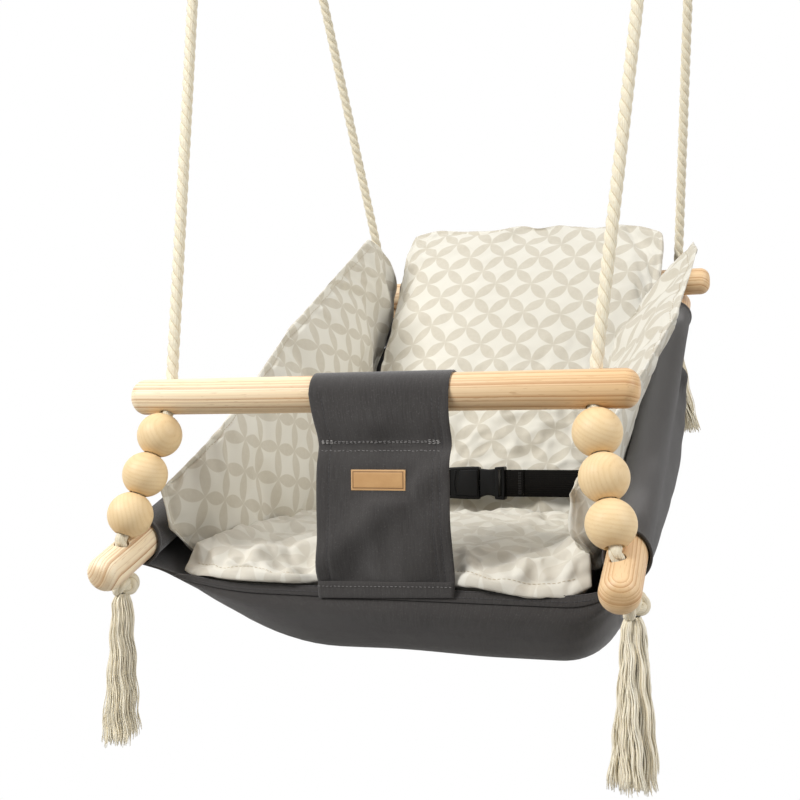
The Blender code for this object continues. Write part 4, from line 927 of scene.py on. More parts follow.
# Maker's patch: a 42 x 15 mm tag of vegetable-tanned leather, its edge pressed down and a border line burned in
# round a bare middle. It is sewn through to the strap.
# Its smooth grain side is warm tan, with a low soft gloss
tanned, tree, surface = finish("vegetable_tanned_leather", 0.5, {"Specular IOR Level": 0.4})
place = node(tree, "TexCoord").outputs["Object"]
middle = bar + Vector((PATCH.x, 0, PATCH.z))
parts = node(tree, "SeparateXYZ", [node(tree, "VectorMath", [place, middle], operation="SUBTRACT")])
off_middle = [node(tree, "Math", [parts.outputs[k]], operation="ABSOLUTE") for k in (0, 2)]
sides = [node(tree, "Math", [half, off], operation="SUBTRACT") for half, off in zip(PATCH_HALF, off_middle)]
from_edge = node(tree, "Math", sides, operation="MINIMUM")
off_line = node(tree, "Math", [from_edge, PATCH_LINE], operation="SUBTRACT")
off_line = node(tree, "Math", [off_line], operation="ABSOLUTE")
burned = node(tree, "MapRange", [off_line, 0.00018, 0.00042, 0.85, 0.0])
pores = node(tree, "TexNoise", {"Vector": place, "Scale": 800.0, "Detail": 4.0})
cloud = node(tree, "TexNoise", {"Vector": place, "Scale": 110.0, "Detail": 3.0})
rubbed = node(tree, "MapRange", [from_edge, 0.0002, 0.0011, 0.5, 0.0])
shown = node(tree, "Mix", {0: cloud, 6: "CFA470", 7: "B98C5A"}, data_type="RGBA")
for factor, over in ((rubbed, "DDB685"), (burned, "5B3A1D")):
    shown = node(tree, "Mix", {0: factor, 6: shown, 7: over}, data_type="RGBA")
height = node(tree, "Math", [burned, -2.5, pores], operation="MULTIPLY_ADD")
bump = node(tree, "Bump", {"Height": height, "Strength": 0.35, "Distance": 0.0002})
node(tree, surface, {"Base Color": shown, "Normal": bump})
tag = bmesh.new()
bmesh.ops.create_grid(tag, x_segments=42, y_segments=15, size=0.5)
for v in tag.verts:
    x, z = v.co.x * 2 * PATCH_HALF[0], v.co.y * 2 * PATCH_HALF[1]
    edge = min(PATCH_HALF[0] - abs(x), PATCH_HALF[1] - abs(z))
    crown = 0.0009 + 0.0004 * min(1.0, edge / 0.0022) - 0.00022 * bell(edge - PATCH_LINE, 0.0004)
    v.co = bar + PATCH + Vector((x, -0.0007 - crown, z))
rim = [edge for edge in tag.edges if edge.is_boundary]
skirt = bmesh.ops.extrude_edge_only(tag, edges=rim)["geom"]
for v in [v for v in skirt if isinstance(v, bmesh.types.BMVert)]:
    v.co.y = bar.y + PATCH.y
bmesh.ops.contextual_create(tag, geom=[edge for edge in tag.edges if edge.is_boundary])
bmesh.ops.recalc_face_normals(tag, faces=tag.faces)
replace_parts(added(mesh_of("leather_patch", tag), "leather_patch", tanned, "seat", 40), "label_patch")


# Stitching: polyester sewing thread, 0.6 mm thick, in 3 mm stitches that lie on the cloth
def sewing_thread(name, code):
    """Spun polyester thread: a little glossier than the cloth, so that each stitch catches the light."""
    thread, tree, surface = finish(name, 0.55)
    twist = node(tree, "TexNoise", {"Scale": 2200.0, "Detail": 1.0})
    shade = [0.7 * c for c in colour(code)[:3]] + [1.0]
    shown = node(tree, "Mix", {0: twist, 6: code, 7: shade}, data_type="RGBA")
    node(tree, surface, {"Base Color": shown})
    return thread


def stitched(name, lines, material, slot, stitch=0.0026, gap=0.0009, radius=0.00030, wander=0.0, seed=1):
    """One mesh with a small arched tube for every stitch along lines of points."""
    draw = random.Random(seed)
    verts = []
    faces = []
    for points in lines:
        run = smooth_path(points, 0.0004)
        step, skip = round(stitch / 0.0004), round(gap / 0.0004)
        for k in range(0, len(run) - step, step + skip):
            a, b = run[k], run[k + step]
            way = (b - a).normalized()
            side = way.orthogonal().normalized()
            other = way.cross(side)
            a = a + Vector([draw.uniform(-wander, wander), 0, draw.uniform(-wander, wander)])
            b = b + Vector([draw.uniform(-wander, wander), 0, draw.uniform(-wander, wander)])
            start = len(verts)
            for share, thick in ((0, 0.35), (0.15, 0.9), (0.5, 1.0), (0.85, 0.9), (1, 0.35)):
                for angle in [2 * math.pi * i / 6 for i in range(6)]:
                    verts.append(a.lerp(b, share) + (side * math.cos(angle) + other * math.sin(angle)) * radius * thick)
            faces += skin(start, 5, 6)
    mesh = bpy.data.meshes.new(name)
    mesh.from_pydata(verts, [], faces)
    return added(mesh, name, material, "seat")


light_thread = sewing_thread("light_grey_thread", "B0ADA9")
grey_thread = sewing_thread("mid_grey_thread", "8B8886")
dark_thread = sewing_thread("charcoal_thread", "403E3F")
runs = [[on_strap(x, z, 0.0002) for x in np.linspace(-0.0322, 0.0612, 40)] for z in (-0.0356, -0.0366, -0.0425)]
short = (0.0020, 0.0012, 0.00026, 0.0004)
cross_stitches = stitched("strap_cross_stitching", runs, grey_thread, "canvas", *short)
ends = ((-0.032, -0.022), (0.050, 0.060))
runs = [[on_strap(x, z, 0.0003) for x in np.linspace(*span, 9)] for z in (-0.0348, -0.0361, -0.0372) for span in ends]
end_stitches = stitched("strap_end_stitching", runs, light_thread, "canvas", *short, seed=2)
seams = [(right_edge, offset) for offset in RIGHT_SEAMS] + [(left_edge, LEFT_SEAM)]
down = np.linspace(-0.143, -0.004, 50)
runs = [[on_strap(between(edge, z) + offset, z, 0.0001) for z in down] for edge, offset in seams]
edge_stitches = stitched("strap_edge_stitching", runs, dark_thread, "canvas")
runs = [[Vector(p) for p in hem_grid[j, 4:-4] + outside[j, seat_columns][4:-4] * 0.0029] for j in (0, 2)]
hem_stitches = stitched("hem_stitching", runs, dark_thread, "canvas")
runs = [[Vector(p + foot_out[1, 0] * 0.0011) for p in foot_grid[1]]]
needle_row = stitched("strap_foot_stitching", runs, grey_thread, "canvas", 0.0014, 0.0018, 0.00024, 0.0002)


# Inserts: four pads of printed cotton filled with polyester hollow fibre: two wings, a back and a seat. Each is
# sewn inside out, turned, filled, and topstitched 5.5 mm inside its edge, so that the cloth gathers at the seam.
PRINT_PITCH = 0.0273  # between the circles' centres
TOPSTITCH_IN = 0.0055  # from the seam to the row of stitches


def printed_cotton(name, turn, shift, ink_colour="C7C0B0"):
    """Cotton percale: soft and matt, off-white, printed in grey-beige with a lattice of overlapping circles."""
    percale, tree, surface = finish(name, 0.92, {"Sheen Weight": 0.15, "Specular IOR Level": 0.2})
    placed = {"Location": shift, "Rotation": (0, 0, turn), "Scale": (1 / PRINT_PITCH,) * 3}
    laid = node(tree, "Mapping", {"Vector": node(tree, "UVMap"), **placed})
    cell = node(tree, "VectorMath", [laid], operation="FRACTION")
    covered = None
    for corner in ((0, 0, 0), (1, 0, 0), (0, 1, 0), (1, 1, 0)):
        flat = node(tree, "VectorMath", [cell, (1, 1, 0)], operation="MULTIPLY")
        reach = node(tree, "VectorMath", [flat, corner], operation="DISTANCE")
        inside = node(tree, "MapRange", [reach, 0.680, 0.728, 1.0, 0.0], interpolation_type="SMOOTHSTEP")
        covered = node(tree, "Math", [inside, covered], operation="ADD") if covered else inside
    petal = node(tree, "MapRange", [covered, 1.1, 1.9, 0.0, 1.0])
    place = node(tree, "TexCoord").outputs["Object"]
    worn = node(tree, "TexNoise", {"Vector": place, "Scale": 300.0, "Detail": 3.0})
    ink = node(tree, "Math", [petal, node(tree, "MapRange", [worn, 0.3, 0.7, 0.82, 1.0])], operation="MULTIPLY")
    shown = node(tree, "Mix", {0: ink, 6: "DBD7CB", 7: ink_colour}, data_type="RGBA")
    weave = plain_weave(tree, 0.0007)  # its threads are 0.25 mm apart, but drawn coarser, so that they show
    bump = node(tree, "Bump", {"Height": weave, "Strength": 0.15, "Distance": 0.00012})
    node(tree, surface, {"Base Color": shown, "Normal": bump})
    return percale


def rim_profile(u, v, power=8):
    """How full a pad is at a place on it: 0 at its seam, 1 inside."""
    return max(0.0, (1 - abs(2 * u - 1) ** power) * (1 - abs(2 * v - 1) ** power)) ** 0.45


def spread(i, count):
    """Shares of an edge, closer together near its ends."""
    return i / count - 0.45 * math.sin(2 * math.pi * i / count) / (2 * math.pi)


def pad(name, columns, rows, shape, across, upward, material):
    """A closed pad: shape gives a place's front and back points, which meet in the seam round its rim."""
    verts = []
    shares = []
    index = {}
    for j in range(rows + 1):
        for i in range(columns + 1):
            u, v = spread(i, columns), spread(j, rows)
            front, behind = shape(u, v)
            index[j, i, 1] = index[j, i, -1] = len(verts)
            verts.append(front)
            rim = j in (0, rows) or i in (0, columns)
            shares.append((u, v, 0.0 if rim else 1.0))
            if not rim:
                index[j, i, -1] = len(verts)
                verts.append(behind)
                shares.append((u, v, -1.0))
    faces = []
    for j in range(rows):
        for i in range(columns):
            ring = [(j, i), (j, i + 1), (j + 1, i + 1), (j + 1, i)]
            faces.append([index[a, b, 1] for a, b in ring])
            faces.append([index[a, b, -1] for a, b in (ring[0], *ring[:0:-1])])
    places = [Vector(v) - bar for v in verts]
    mesh = closed(name, verts, faces, [(p.dot(across), p.dot(upward)) for p in places])
    for k, key in enumerate("uvf"):
        mesh.attributes.new(key, "FLOAT", "POINT").data.foreach_set("value", [share[k] for share in shares])
    piece = added(mesh, name, material, "seat")
    piece.vertex_groups.new(name="seam").add([k for k, share in enumerate(shares) if share[2] == 0.0], 1.0, "ADD")
    return piece


def filled(piece, pressure, grow, cap, cap_behind, sitter, frames=18):
    """Swells a pad as cloth under pressure with its seam held, and keeps each point near where it began."""
    start = np.array([list(v.co) for v in piece.data.vertices])
    facing = np.array([list(v.normal) for v in piece.data.vertices]) @ np.array(sitter)
    cloth_sim = piece.modifiers.new("cloth", "CLOTH")
    settings = cloth_sim.settings
    settings.quality = 5
    settings.mass = 0.25
    settings.tension_stiffness = settings.compression_stiffness = 12
    settings.shear_stiffness = 4
    settings.bending_stiffness = 0.25
    settings.air_damping = 3
    settings.use_pressure = True
    settings.uniform_pressure_force = pressure
    settings.shrink_min = -grow
    settings.vertex_group_mass = "seam"
    settings.effector_weights.gravity = 0
    cloth_sim.point_cache.frame_start = 1
    cloth_sim.point_cache.frame_end = frames
    for k in range(1, frames + 1):
        scene.frame_set(k)
    shown = piece.evaluated_get(bpy.context.evaluated_depsgraph_get())
    move = np.array([list(v.co) for v in shown.to_mesh().vertices]) - start
    piece.modifiers.remove(cloth_sim)
    scene.frame_set(1)
    size = np.maximum(np.linalg.norm(move, axis=1), 1e-9)
    move *= (np.minimum(size, np.where(facing > -0.2, cap, cap_behind)) / size)[:, None]
    piece.data.vertices.foreach_set("co", (start + move).reshape(-1))
    piece.data.update()


def shares_on(mesh):
    """A pad's shares across and up, and its face: 1 for the front, 0 for the seam and -1 for the back."""
    shares = np.zeros((3, len(mesh.vertices)))
    for k, key in enumerate("uvf"):
        mesh.attributes[key].data.foreach_get("value", shares[k])
    return shares


def creased(piece, relief, node_name):
    """Subdivides a pad, then raises or lowers each point by its folds and gathers."""
    applied(piece, "SUBSURF", levels=1)
    mesh = piece.data
    normals = [vertex.normal.copy() for vertex in mesh.vertices]
    for vertex, normal, (u, v, face) in zip(mesh.vertices, normals, shares_on(mesh).T):
        vertex.co += normal * relief(u, v, face, vertex.co - bar)
    mesh.update()
    mesh.shade_smooth()
    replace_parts(piece, node_name)


def on_pad(piece, places, above):
    """Points just over a pad's front, at shares across it and up it."""
    across, upward, face = shares_on(piece.data)
    points = []
    for u, v in places:
        nearest = np.argmin((across - u) ** 2 + (upward - v) ** 2 + np.where(face < 0.4, 1.0, 0.0))
        vertex = piece.data.vertices[int(nearest)]
        points.append(vertex.co + vertex.normal * above)
    return points


def dents(p, size, seed):
    """Soft dents between sharper creases, as in crumpled cotton over a filling, about one size apart."""
    q = p / size + Vector((seed, 0.7 * seed, 0.3 * seed))
    return noise.noise(q) - 1.0 * abs(noise.noise(q * 1.8 + Vector((3.1, 0, 0)))) + 0.24


def gathers(along, inward, pitch, reach, seed):
    """Puckers square to a seam: along it and inward from it, both in metres."""
    wave = noise.noise(Vector((along / pitch, seed, 0.2 * inward / pitch)))
    from_row = inward - TOPSTITCH_IN + 0.001
    return wave * within(from_row / 0.004) * max(0.0, 1 - from_row / reach) ** 1.5


def topstitch(inward):
    """The groove of a row of stitches inside a seam."""
    return -bell(inward - TOPSTITCH_IN, 0.0018)


def on_chain(points, t):
    """The point at a share of a chain's length."""
    lengths = np.concatenate([[0], np.cumsum([(q - p).length for p, q in zip(points, points[1:])])])
    at = t * lengths[-1]
    return Vector([float(np.interp(at, lengths, [p[k] for p in points])) for k in range(2)])


def coons(bottom, top, left, right, u, v):
    """A point of the patch between four chains that meet at their ends."""
    low = on_chain(bottom, u) * (1 - v) + on_chain(top, u) * v
    side = on_chain(left, v) * (1 - u) + on_chain(right, v) * u
    corners = bottom[0] * (1 - u) * (1 - v) + bottom[-1] * u * (1 - v) + top[0] * (1 - u) * v + top[-1] * u * v
    return low + side - corners


# Wings: 13 mm thick at their sides. Each stands against its side panel, leans out over the side bar at the top,
# and is fuller towards the sitter.
WING_SIZE = (0.35, 0.19)  # along and up
WING_LEAN = {  # how far its top edge leans out, by distance back
    "left": [(-0.020, 0.004), (0.060, -0.004), (0.140, 0.003), (0.220, 0.012), (0.400, 0.010)],
    "right": [(-0.020, -0.0135), (0.0, -0.0125), (0.045, -0.006), (0.130, 0.019)]
    + [(0.230, 0.043), (0.300, 0.051), (0.400, 0.060)],
}
WING_TOP = {"left": [(-0.013, -0.073), (0.396, 0.180)], "right": [(-0.013, -0.073), (0.345, 0.1427), (0.398, 0.157)]}
WING_REAR = {
    "left": [(0.232, -0.121), (0.262, -0.065), (0.330, -0.015), (0.386, 0.0295), (0.413, 0.0625)]
    + [(0.444, 0.105), (0.458, 0.140), (0.444, 0.161), (0.420, 0.174)],
    "right": [(0.228, -0.121), (0.2400, -0.060), (0.330, 0.035), (0.378, 0.095), (0.404, 0.135)],
}


def wing_point(y, z, word, side):
    """The middle of a wing's thickness at a distance back and a height."""
    at = side_bar((y - side_front.y) / side_way.y)
    height = z - at.z
    top = 0.040 + 0.078 * within((y + 0.02) / 0.42)
    lean = between(WING_LEAN[word], y) * max(0.0, min(1.2, height / top)) ** 1.3
    drop = max(0.0, -height - 0.01) * 0.16
    if side > 0:  # its rear is pushed in by the sling's corner and turns across the back pad's edge
        to_rear = between([(b, a) for a, b in WING_REAR[word]], z) - y
        drop += 0.032 * between([(0.060, 0.95), (0.150, 0.0)], z) * within(1 - to_rear / 0.080) ** 2
        drop += 0.012 * bell(z + 0.102, 0.020) * within(1 - y / 0.06)
    return bar + Vector((side * (at.x - 0.0235 + lean - drop), y, z))


pads = {}
for word, s in SIDES:
    top = [Vector(p) for p in WING_TOP[word]]
    rear = [Vector(p) for p in WING_REAR[word]] + [top[-1]]
    front = [Vector((0.034, -0.130)), Vector((-0.004, -0.104)), top[0]]

    def wing(u, v):
        """The sitter's side and the outer side of a wing."""
        places = [coons([front[0], rear[0]], top, front, rear, *at) for at in ((u, v), (u + 0.001, v), (u, v + 0.001))]
        at, one, two = (wing_point(p.x, p.y, word, s) for p in places)
        inward = (one - at).cross(two - at).normalized()
        inward = inward if inward.x * s < 0 else -inward
        full = rim_profile(u, v)
        crown = 0.0035 * math.sin(math.pi * u) * math.sin(math.pi * v)
        return at + inward * (full * 0.0058 + crown), at - inward * full * 0.0056

    def wing_relief(u, v, face, p):
        """Gathers along the seams, and a few soft folds."""
        high = (1 - v) * WING_SIZE[1]
        inward = min(u * WING_SIZE[0], (1 - u) * WING_SIZE[0], high)
        along = p.y if inward == high else p.z
        soft = 0.0010 * dents(p, 0.045, 2.0 + s) + 0.0006 * noise.noise(p / 0.018)
        fold = 0.0018 * noise.noise(Vector(((p.z - 0.55 * p.y) / 0.05, p.y / 0.16, 4.0 + s)))
        inside = min(1.0, inward / 0.02)
        sewn = 0.0013 * topstitch(inward) + 0.0026 * gathers(along, inward, 0.0075, 0.024, 1.7)
        return abs(face) * (sewn + (soft + fold) * inside)

    percale = printed_cotton(f"printed_cotton_percale_wing_{word}", math.radians(9), (-0.081, 0.205, 0))
    pads[word] = pad(f"wing_pad_{word}", 84, 46, wing, Vector((0, 1, 0)), Vector((0, 0, 1)), percale)
    filled(pads[word], 2.0, 0.04, 0.006, 0.0012, Vector((-s, 0, 0)))
    creased(pads[word], wing_relief, f"wing_cushion_{word}")

# Back: 24 mm thick, leaning back between the wings, with its foot behind the lap belt
BACK_SIZE = (0.29, 0.35)  # across and up
BELT_Y = 0.2605  # the lap belt's distance back
foot = Vector((0, 0.262, -0.112))
head = Vector((0, 0.455, 0.185))
rise = head - foot
behind = Vector((0, rise.z, -rise.y)).normalized()


def back_shape(u, v):
    """The sitter's side and the far side of the back pad."""
    half = 0.148 * (0.945 + 0.055 * v) - 0.003 * math.sin(math.pi * v)
    lift = (0.002 * math.sin(math.pi * u) - 0.001) * (2 * v - 1) + v**3 * (0.017 * (1 - u) + 0.006)
    corner = abs(2 * u - 1) ** 7 * abs(2 * v - 1) ** 7 * 0.008
    lift -= corner if v > 0.5 else -corner
    seam = bar + foot + rise * v + behind * 0.012 + rise.normalized() * lift
    seam.x = bar.x + soft_shift * (0.35 + 0.80 * v) + (2 * u - 1) * (half - corner)
    full = rim_profile(u, v)
    crown = 0.003 * math.sin(math.pi * u) * math.sin(math.pi * v)
    return seam - behind * full * (0.0105 + crown), seam + behind * full * 0.0105


def back_relief(u, v, face, p):
    """Smooth above, crumpled below where it bends over the seat, and gathered along its edges."""
    ends = (v * BACK_SIZE[1], (1 - v) * BACK_SIZE[1])
    inward = min(u * BACK_SIZE[0], (1 - u) * BACK_SIZE[0], *ends)
    along = p.x if inward in ends else p.z
    low = within((0.55 - v) / 0.25)
    crumple = (0.0018 + 0.0058 * low) * dents(Vector((p.x, p.y * 1.2, p.z)), 0.030, 5.0)
    crumple += (0.0005 + 0.0010 * low) * noise.noise(p / 0.011)
    fold = 0.0022 * noise.noise(Vector(((p.x + 0.7 * p.z) / 0.06, (p.z - 0.7 * p.x) / 0.13, 9.0)))
    inside = min(1.0, inward / 0.025)
    sewn = 0.0008 * topstitch(inward) + 0.0022 * gathers(along, inward, 0.0090, 0.022, 6.0)
    return abs(face) * (sewn + (crumple + fold) * inside)


percale = printed_cotton("printed_cotton_percale_back", math.radians(49.3), (-0.137, 0.120, 0))
pads["back"] = pad("back_pad", 70, 80, back_shape, Vector((1, 0, 0)), rise.normalized(), percale)
filled(pads["back"], 2.5, 0.04, 0.006, 0.0012, -behind)
creased(pads["back"], back_relief, "back_cushion")

# Seat: a crowned pad that lies in the sling, its front edge out over the hem
inside_faces = []
wide = sling.shape[1]
for a in range(0, (sling.shape[0] - 1) * wide, wide):
    inside_faces += [(a + i, a + i + 1, a + wide + i + 1, a + wide + i) for i in range(wide - 1)]
sling_floor = BVHTree.FromPolygons([Vector(p) for p in (sling - outside * CLOTH).reshape(-1, 3)], inside_faces)


# the front seam's height along it, and how high the pad's sides meet the wings, by distance back
SEAT_FRONT = [(-0.158, -0.1370), (-0.150, -0.1395), (-0.063, -0.1409), (-0.038, -0.1393), (0.000, -0.1388)]
SEAT_FRONT += [(0.081, -0.1385), (0.102, -0.1419), (0.120, -0.1448), (0.150, -0.1453), (0.166, -0.1381)]
SEAT_SIDES = [(-0.006, -0.1300), (0.004, -0.1200), (0.068, -0.1115), (0.200, -0.1030), (0.270, -0.1010)]
SEAT_REACH = {
    -1: [(0, 0.158), (0.10, 0.151), (0.30, 0.147), (1, 0.139)],
    1: [(0, 0.166), (0.10, 0.158), (0.30, 0.152), (1, 0.142)],
}
SEAT_SIZE = (0.31, 0.26)  # across and back


def seat_shape(u, v):
    """The top and the underside of the seat pad."""
    side = 2 * u - 1
    x = side * between(SEAT_REACH[-1 if side < 0 else 1], v)
    bulge = 0.0070 * within((abs(x - STRAP_X) - 0.054) / 0.020) * (1 - side**8)
    y = -0.0060 - bulge * (1 - v) ** 2 + 0.2630 * v + side**6 * 0.006 * (1 - v) ** 2
    level = between(SEAT_FRONT, x)
    level += (-0.120 - level) * min(1.0, 1.15 * v)
    at_side = max(0.0, (abs(side) - 0.70) / 0.30) ** 2 * min(1.0, v / 0.05)
    seam = bar + Vector((x, y, level + (between(SEAT_SIDES, y) - level) * at_side))
    full = rim_profile(u, v)
    hit = sling_floor.ray_cast(seam + Vector((0, 0, 0.004)), Vector((0, 0, -1)))[0]
    depth = max(0.0, seam.z - hit.z - 0.0022) if hit else 0.0
    depth = min(depth, 0.0030 + max(0.0, y - 0.002) * 2.5)
    crown = 0.003 * math.sin(math.pi * u) * math.sin(math.pi * v) + 0.006 * max(0.0, 1 - 3 * v)
    return seam + Vector((0, 0, full * (0.010 + crown))), seam - Vector((0, 0, full * depth * 0.94))


def seat_relief(u, v, face, p):
    """Gathered hard along its front, with long folds on the left and crumpled cloth on the right."""
    if face < 0:
        return 0.0
    front, sides = v * SEAT_SIZE[1], min(u, 1 - u) * SEAT_SIZE[0]
    gather = 0.0088 * gathers(p.x + 0.15 * p.y, front, 0.0120, 0.034, 3.0)
    gather += 0.0020 * gathers(p.y, sides, 0.010, 0.020, 8.0)
    left = within((0.04 - p.x) / 0.06)
    long_fold = noise.noise(Vector(((0.9 * p.x - 0.45 * p.y) / 0.020, (0.45 * p.x + 0.9 * p.y) / 0.13, 2.0)))
    crumple = (0.0062 - 0.0026 * left) * dents(Vector((p.x, p.y, 0)), 0.034, 7.0) + 0.0006 * noise.noise(p / 0.012)
    inside = min(1.0, front / 0.020) * min(1.0, sides / 0.015)
    return face * (0.0016 * topstitch(front) + gather + (0.0056 * left * long_fold + crumple) * inside)


percale = printed_cotton("printed_cotton_percale_seat", math.radians(45), (0.1, 0.3, 0), "CFC9BB")
pads["seat"] = pad("seat_pad", 90, 66, seat_shape, Vector((1, 0, 0)), Vector((0, 1, 0)), percale)
filled(pads["seat"], 2.5, 0.05, 0.006, 0.001, Vector((0, 0, 1)))
creased(pads["seat"], seat_relief, "seat_cushion")

# Topstitching: one row of cream thread round each pad, shown where the edges are seen
cream_thread = sewing_thread("cream_thread", "CDBFA6")
run = np.linspace(0.03, 0.97, 120)
rows = {"seat": [[(u, TOPSTITCH_IN / SEAT_SIZE[1]) for u in run]]}
for word, _ in SIDES:
    along, up = (TOPSTITCH_IN / size for size in WING_SIZE)
    rows[f"wing_{word}"] = [[(along, v) for v in run], [(u, 1 - up) for u in run]]
for key, places in rows.items():
    name = key.replace("wing", "wing_topstitching") if "_" in key else f"{key}_topstitching"
    lines = [on_pad(pads[key.replace("wing_", "")], row, 0.0002) for row in places]
    stitched(name, lines, cream_thread, "printed_cotton", 0.0022, 0.0012)

# Lap belt: 25 mm black polypropylene webbing, ribbed along its length. Its left end is sewn in behind the left
# wing; the right piece is doubled back through the buckle's plug and sewn down with a bar of thread.
# Matt black filament yarn
webbing, tree, surface = finish("black_polypropylene_webbing", 0.6, {"Sheen Weight": 0.0, "Specular IOR Level": 0.06})
place = node(tree, "TexCoord").outputs["Object"]
parts = node(tree, "SeparateXYZ", [place])
dust = node(tree, "TexNoise", {"Vector": place, "Scale": 300.0, "Detail": 3.0})
shown = node(tree, "Mix", {0: dust, 6: "0A0908", 7: "141210"}, data_type="RGBA")
waves = [(parts.outputs[2], 0.0020), (parts.outputs[0], 0.0015)]  # ribs 2 mm apart, crossed by picks
waves = [node(tree, "Math", [part, 2 * math.pi / pitch], operation="MULTIPLY") for part, pitch in waves]
ribs, picks = (node(tree, "Math", [wave], operation="SINE") for wave in waves)
height = node(tree, "Math", [ribs, picks, ribs], operation="MULTIPLY_ADD")
bump = node(tree, "Bump", {"Height": height, "Strength": 0.5, "Distance": 0.0003})
node(tree, surface, {"Base Color": shown, "Normal": bump})
WEBBING = (0.0125, 0.0015)  # half its height, and its thickness
belt_middle = bar + Vector((0, BELT_Y, -0.080))


def band(path, half, thickness):
    """A flat strip of webbing along a path in plan, with rounded edges, as rings of points."""
    rings = []
    for p, (way, _, _) in zip(path, frames_along(path)):
        across = Vector((-way.y, way.x, 0)).normalized() * thickness / 2
        outline = [(-1, -half + 0.0006), (-0.5, -half), (0.5, -half), (1, -half + 0.0006)]
        outline += [(k, -z) for k, z in reversed(outline)]
        rings.append([p + across * k + Vector((0, 0, z)) for k, z in outline])
    return rings


def belt(name, runs, body, replaced):
    """A belt from one or more runs of webbing."""
    whole = bmesh.new()
    for run in runs:
        strip = tube(name, run)
        whole.from_mesh(strip)
        bpy.data.meshes.remove(strip)
    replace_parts(added(mesh_of(name, whole), name, webbing, body, 50), replaced)


def belt_point(x, out=0.0, up=0.0):
    """A place by its distance to the right of the swing's middle, behind the belt's plane, and over its middle."""
    return belt_middle + Vector((x, out, up))


straight = smooth_path([belt_point(-0.150, 0.0), belt_point(-0.09, 0.0), belt_point(-0.0198)], 0.006)
belt("webbing_belt_left", [band(straight, *WEBBING)], "seat", "belt_left")
straight = [(0.0292, 0.0010), (0.0330, 0.0012), (0.0400, 0.0004)]
straight += [(0.0520, 0.0), (0.0800, 0.0), (0.1200, 0.0), (0.1560, 0.0)]
doubled = [(0.0292, -0.0010), (0.0330, -0.0017), (0.0400, -0.0018), (0.0480, -0.0017), (0.0512, -0.0015)]
runs = [band(smooth_path([belt_point(*place) for place in run], 0.004), *WEBBING) for run in (straight, doubled)]
belt("webbing_belt_right", runs, "buckle_plug", "belt_right")
black_thread = sewing_thread("black_thread", "232120")
tacks = [[belt_point(x, -0.0027, z) for z in np.linspace(-0.0105, 0.0105, 12)] for x in (0.0470, 0.0480, 0.0490)]
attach(stitched("belt_bar_tack", tacks, black_thread, "webbing", 0.0020, 0.0006), "buckle_plug")

# Buckle: a side-release buckle moulded in black acetal with a fine spark texture. The socket has a raised panel,
# a slanted ridge and open sides; the plug's waist and collar narrow towards the belt.
# Acetal has a smooth, faintly waxy gloss on its edges
acetal, tree, surface = finish("moulded_black_acetal", 0.42, {"Base Color": "0B0B0B", "Specular IOR Level": 0.18})
spark = node(tree, "TexNoise", {"Vector": node(tree, "TexCoord").outputs["Object"], "Scale": 1700.0, "Detail": 2.0})
bump = node(tree, "Bump", {"Height": spark, "Strength": 0.3, "Distance": 0.0001})
node(tree, surface, {"Normal": bump})


def moulded(name, solids, cuts, body):
    """One moulding: outlines in the belt's plane made into bevelled solids, joined, with openings cut."""
    whole = None
    for operation, parts in (("UNION", solids), ("DIFFERENCE", cuts)):
        for outline, near, far, bevel in parts:
            block = bmesh.new()
            face = block.faces.new([block.verts.new(belt_point(x, near, z)) for x, z in outline])
            grown = bmesh.ops.extrude_face_region(block, geom=[face])["geom"]
            moved = [v for v in grown if isinstance(v, bmesh.types.BMVert)]
            bmesh.ops.translate(block, vec=Vector((0, far - near, 0)), verts=moved)
            bmesh.ops.recalc_face_normals(block, faces=block.faces)
            if bevel:
                rounding = {"offset": bevel, "segments": 3, "profile": 0.6, "affect": "EDGES", "clamp_overlap": True}
                bmesh.ops.bevel(block, geom=block.edges, **rounding)
            if whole:
                combined(whole, mesh_of(name, block), operation)
            else:
                whole = added(mesh_of(name, block), name, acetal, body)
    whole.data.shade_smooth()
    whole.data.set_sharp_from_angle(angle=math.radians(35))
    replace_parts(whole, name.replace("moulded_", ""))


def arc(x0, z0, x1, z1, sag, steps=8):
    """Points on a shallow curve between two places of an outline, bowed by its sag."""
    across = Vector((z1 - z0, x0 - x1)).normalized() * sag
    line = [(i / steps, 4 * (i / steps) * (1 - i / steps)) for i in range(1, steps)]
    return [(x0 + (x1 - x0) * t + across.x * h, z0 + (z1 - z0) * t + across.y * h) for t, h in line]


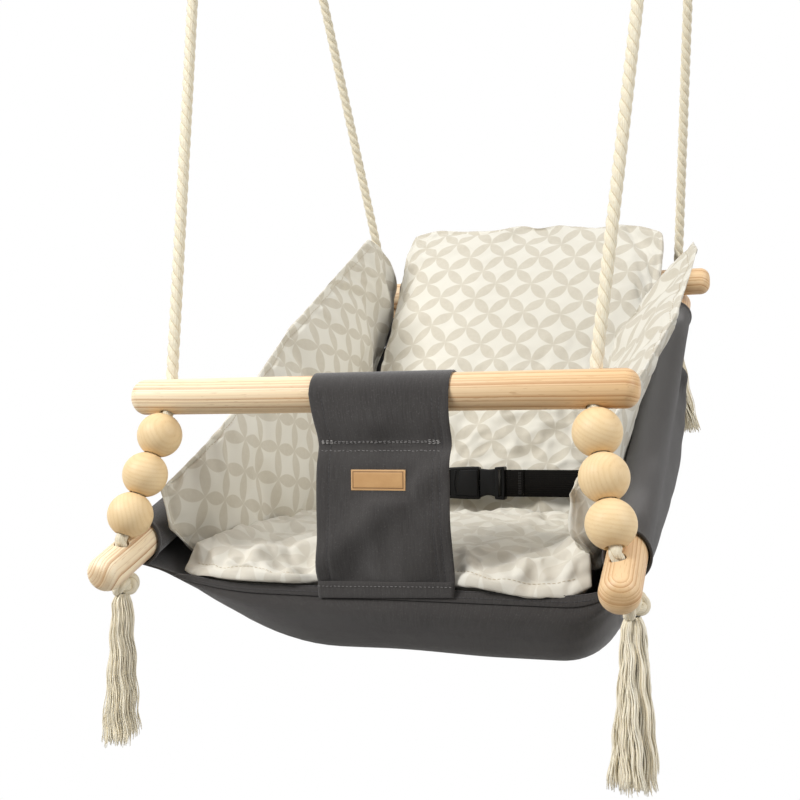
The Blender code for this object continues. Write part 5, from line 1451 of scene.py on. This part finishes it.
socket = [(-0.0255, -0.0140), *arc(-0.0255, -0.0140, 0.0080, -0.0153, 0.0004), (0.0080, -0.0153), (0.0095, -0.0135)]
socket += [*arc(0.0095, -0.0135, 0.0095, 0.0135, -0.0012), (0.0095, 0.0135), (0.0080, 0.0153)]
socket += [*arc(0.0080, 0.0153, -0.0255, 0.0140, 0.0004), (-0.0255, 0.0140)]
panel = [(-0.0135, -0.0120), (0.0078, -0.0125), (0.0078, 0.0125), (-0.0095, 0.0120), (-0.0122, 0.0)]
windows = []
for z in (-1, 1):
    window = [(-0.0085, z * 0.0110), (0.0035, z * 0.0110), (0.0035, z * 0.02), (-0.0085, z * 0.02)]
    windows.append((window, -0.0030, 0.0030, 0))
slot = [(-0.0232, -0.0128), (-0.0190, -0.0128), (-0.0190, 0.0128), (-0.0232, 0.0128)]
mouth = [(-0.0110, -0.0112), (0.0120, -0.0112), (0.0120, 0.0112), (-0.0110, 0.0112)]
ridge = [(-0.0148, 0.0120), (-0.0128, 0.0120), (-0.0150, 0.0), (-0.0128, -0.0120), (-0.0148, -0.0120), (-0.0172, 0.0)]
solids = [(socket, -0.0042, 0.0042, 0.0012), (panel, -0.0054, 0.0054, 0.0010), (ridge, -0.0050, 0.0, 0.0004)]
moulded("moulded_buckle_socket", solids, windows + [(slot, -0.02, 0.02, 0), (mouth, -0.0026, 0.0026, 0)], "seat")
collar = [(0.0245, -0.0150), (0.0335, -0.0155), *arc(0.0335, -0.0155, 0.0335, 0.0155, 0.0006)]
collar += [(0.0335, 0.0155), (0.0245, 0.0150)] + arc(0.0245, 0.0150, 0.0245, -0.0150, 0.0010)
waist = [(0.0099, -0.0135), *arc(0.0099, -0.0135, 0.0262, -0.0140, -0.0024), (0.0262, -0.0140), (0.0262, 0.0140)]
waist += [*arc(0.0262, 0.0140, 0.0099, 0.0135, -0.0010), (0.0099, 0.0135)]
prongs = []
for low, high in ((-0.0108, -0.0072), (-0.0022, 0.0022), (0.0072, 0.0108)):
    prongs.append(([(-0.0080, low), (0.0110, low), (0.0110, high), (-0.0080, high)], -0.0022, 0.0022, 0.0006))
cuts = [([(0.0278, -0.0128), (0.0312, -0.0128), (0.0312, 0.0128), (0.0278, 0.0128)], -0.02, 0.02, 0)]
solids = [(waist, -0.0040, 0.0040, 0.0010), (collar, -0.0052, 0.0052, 0.0012)] + prongs
moulded("moulded_buckle_plug", solids, cuts, "buckle_plug")
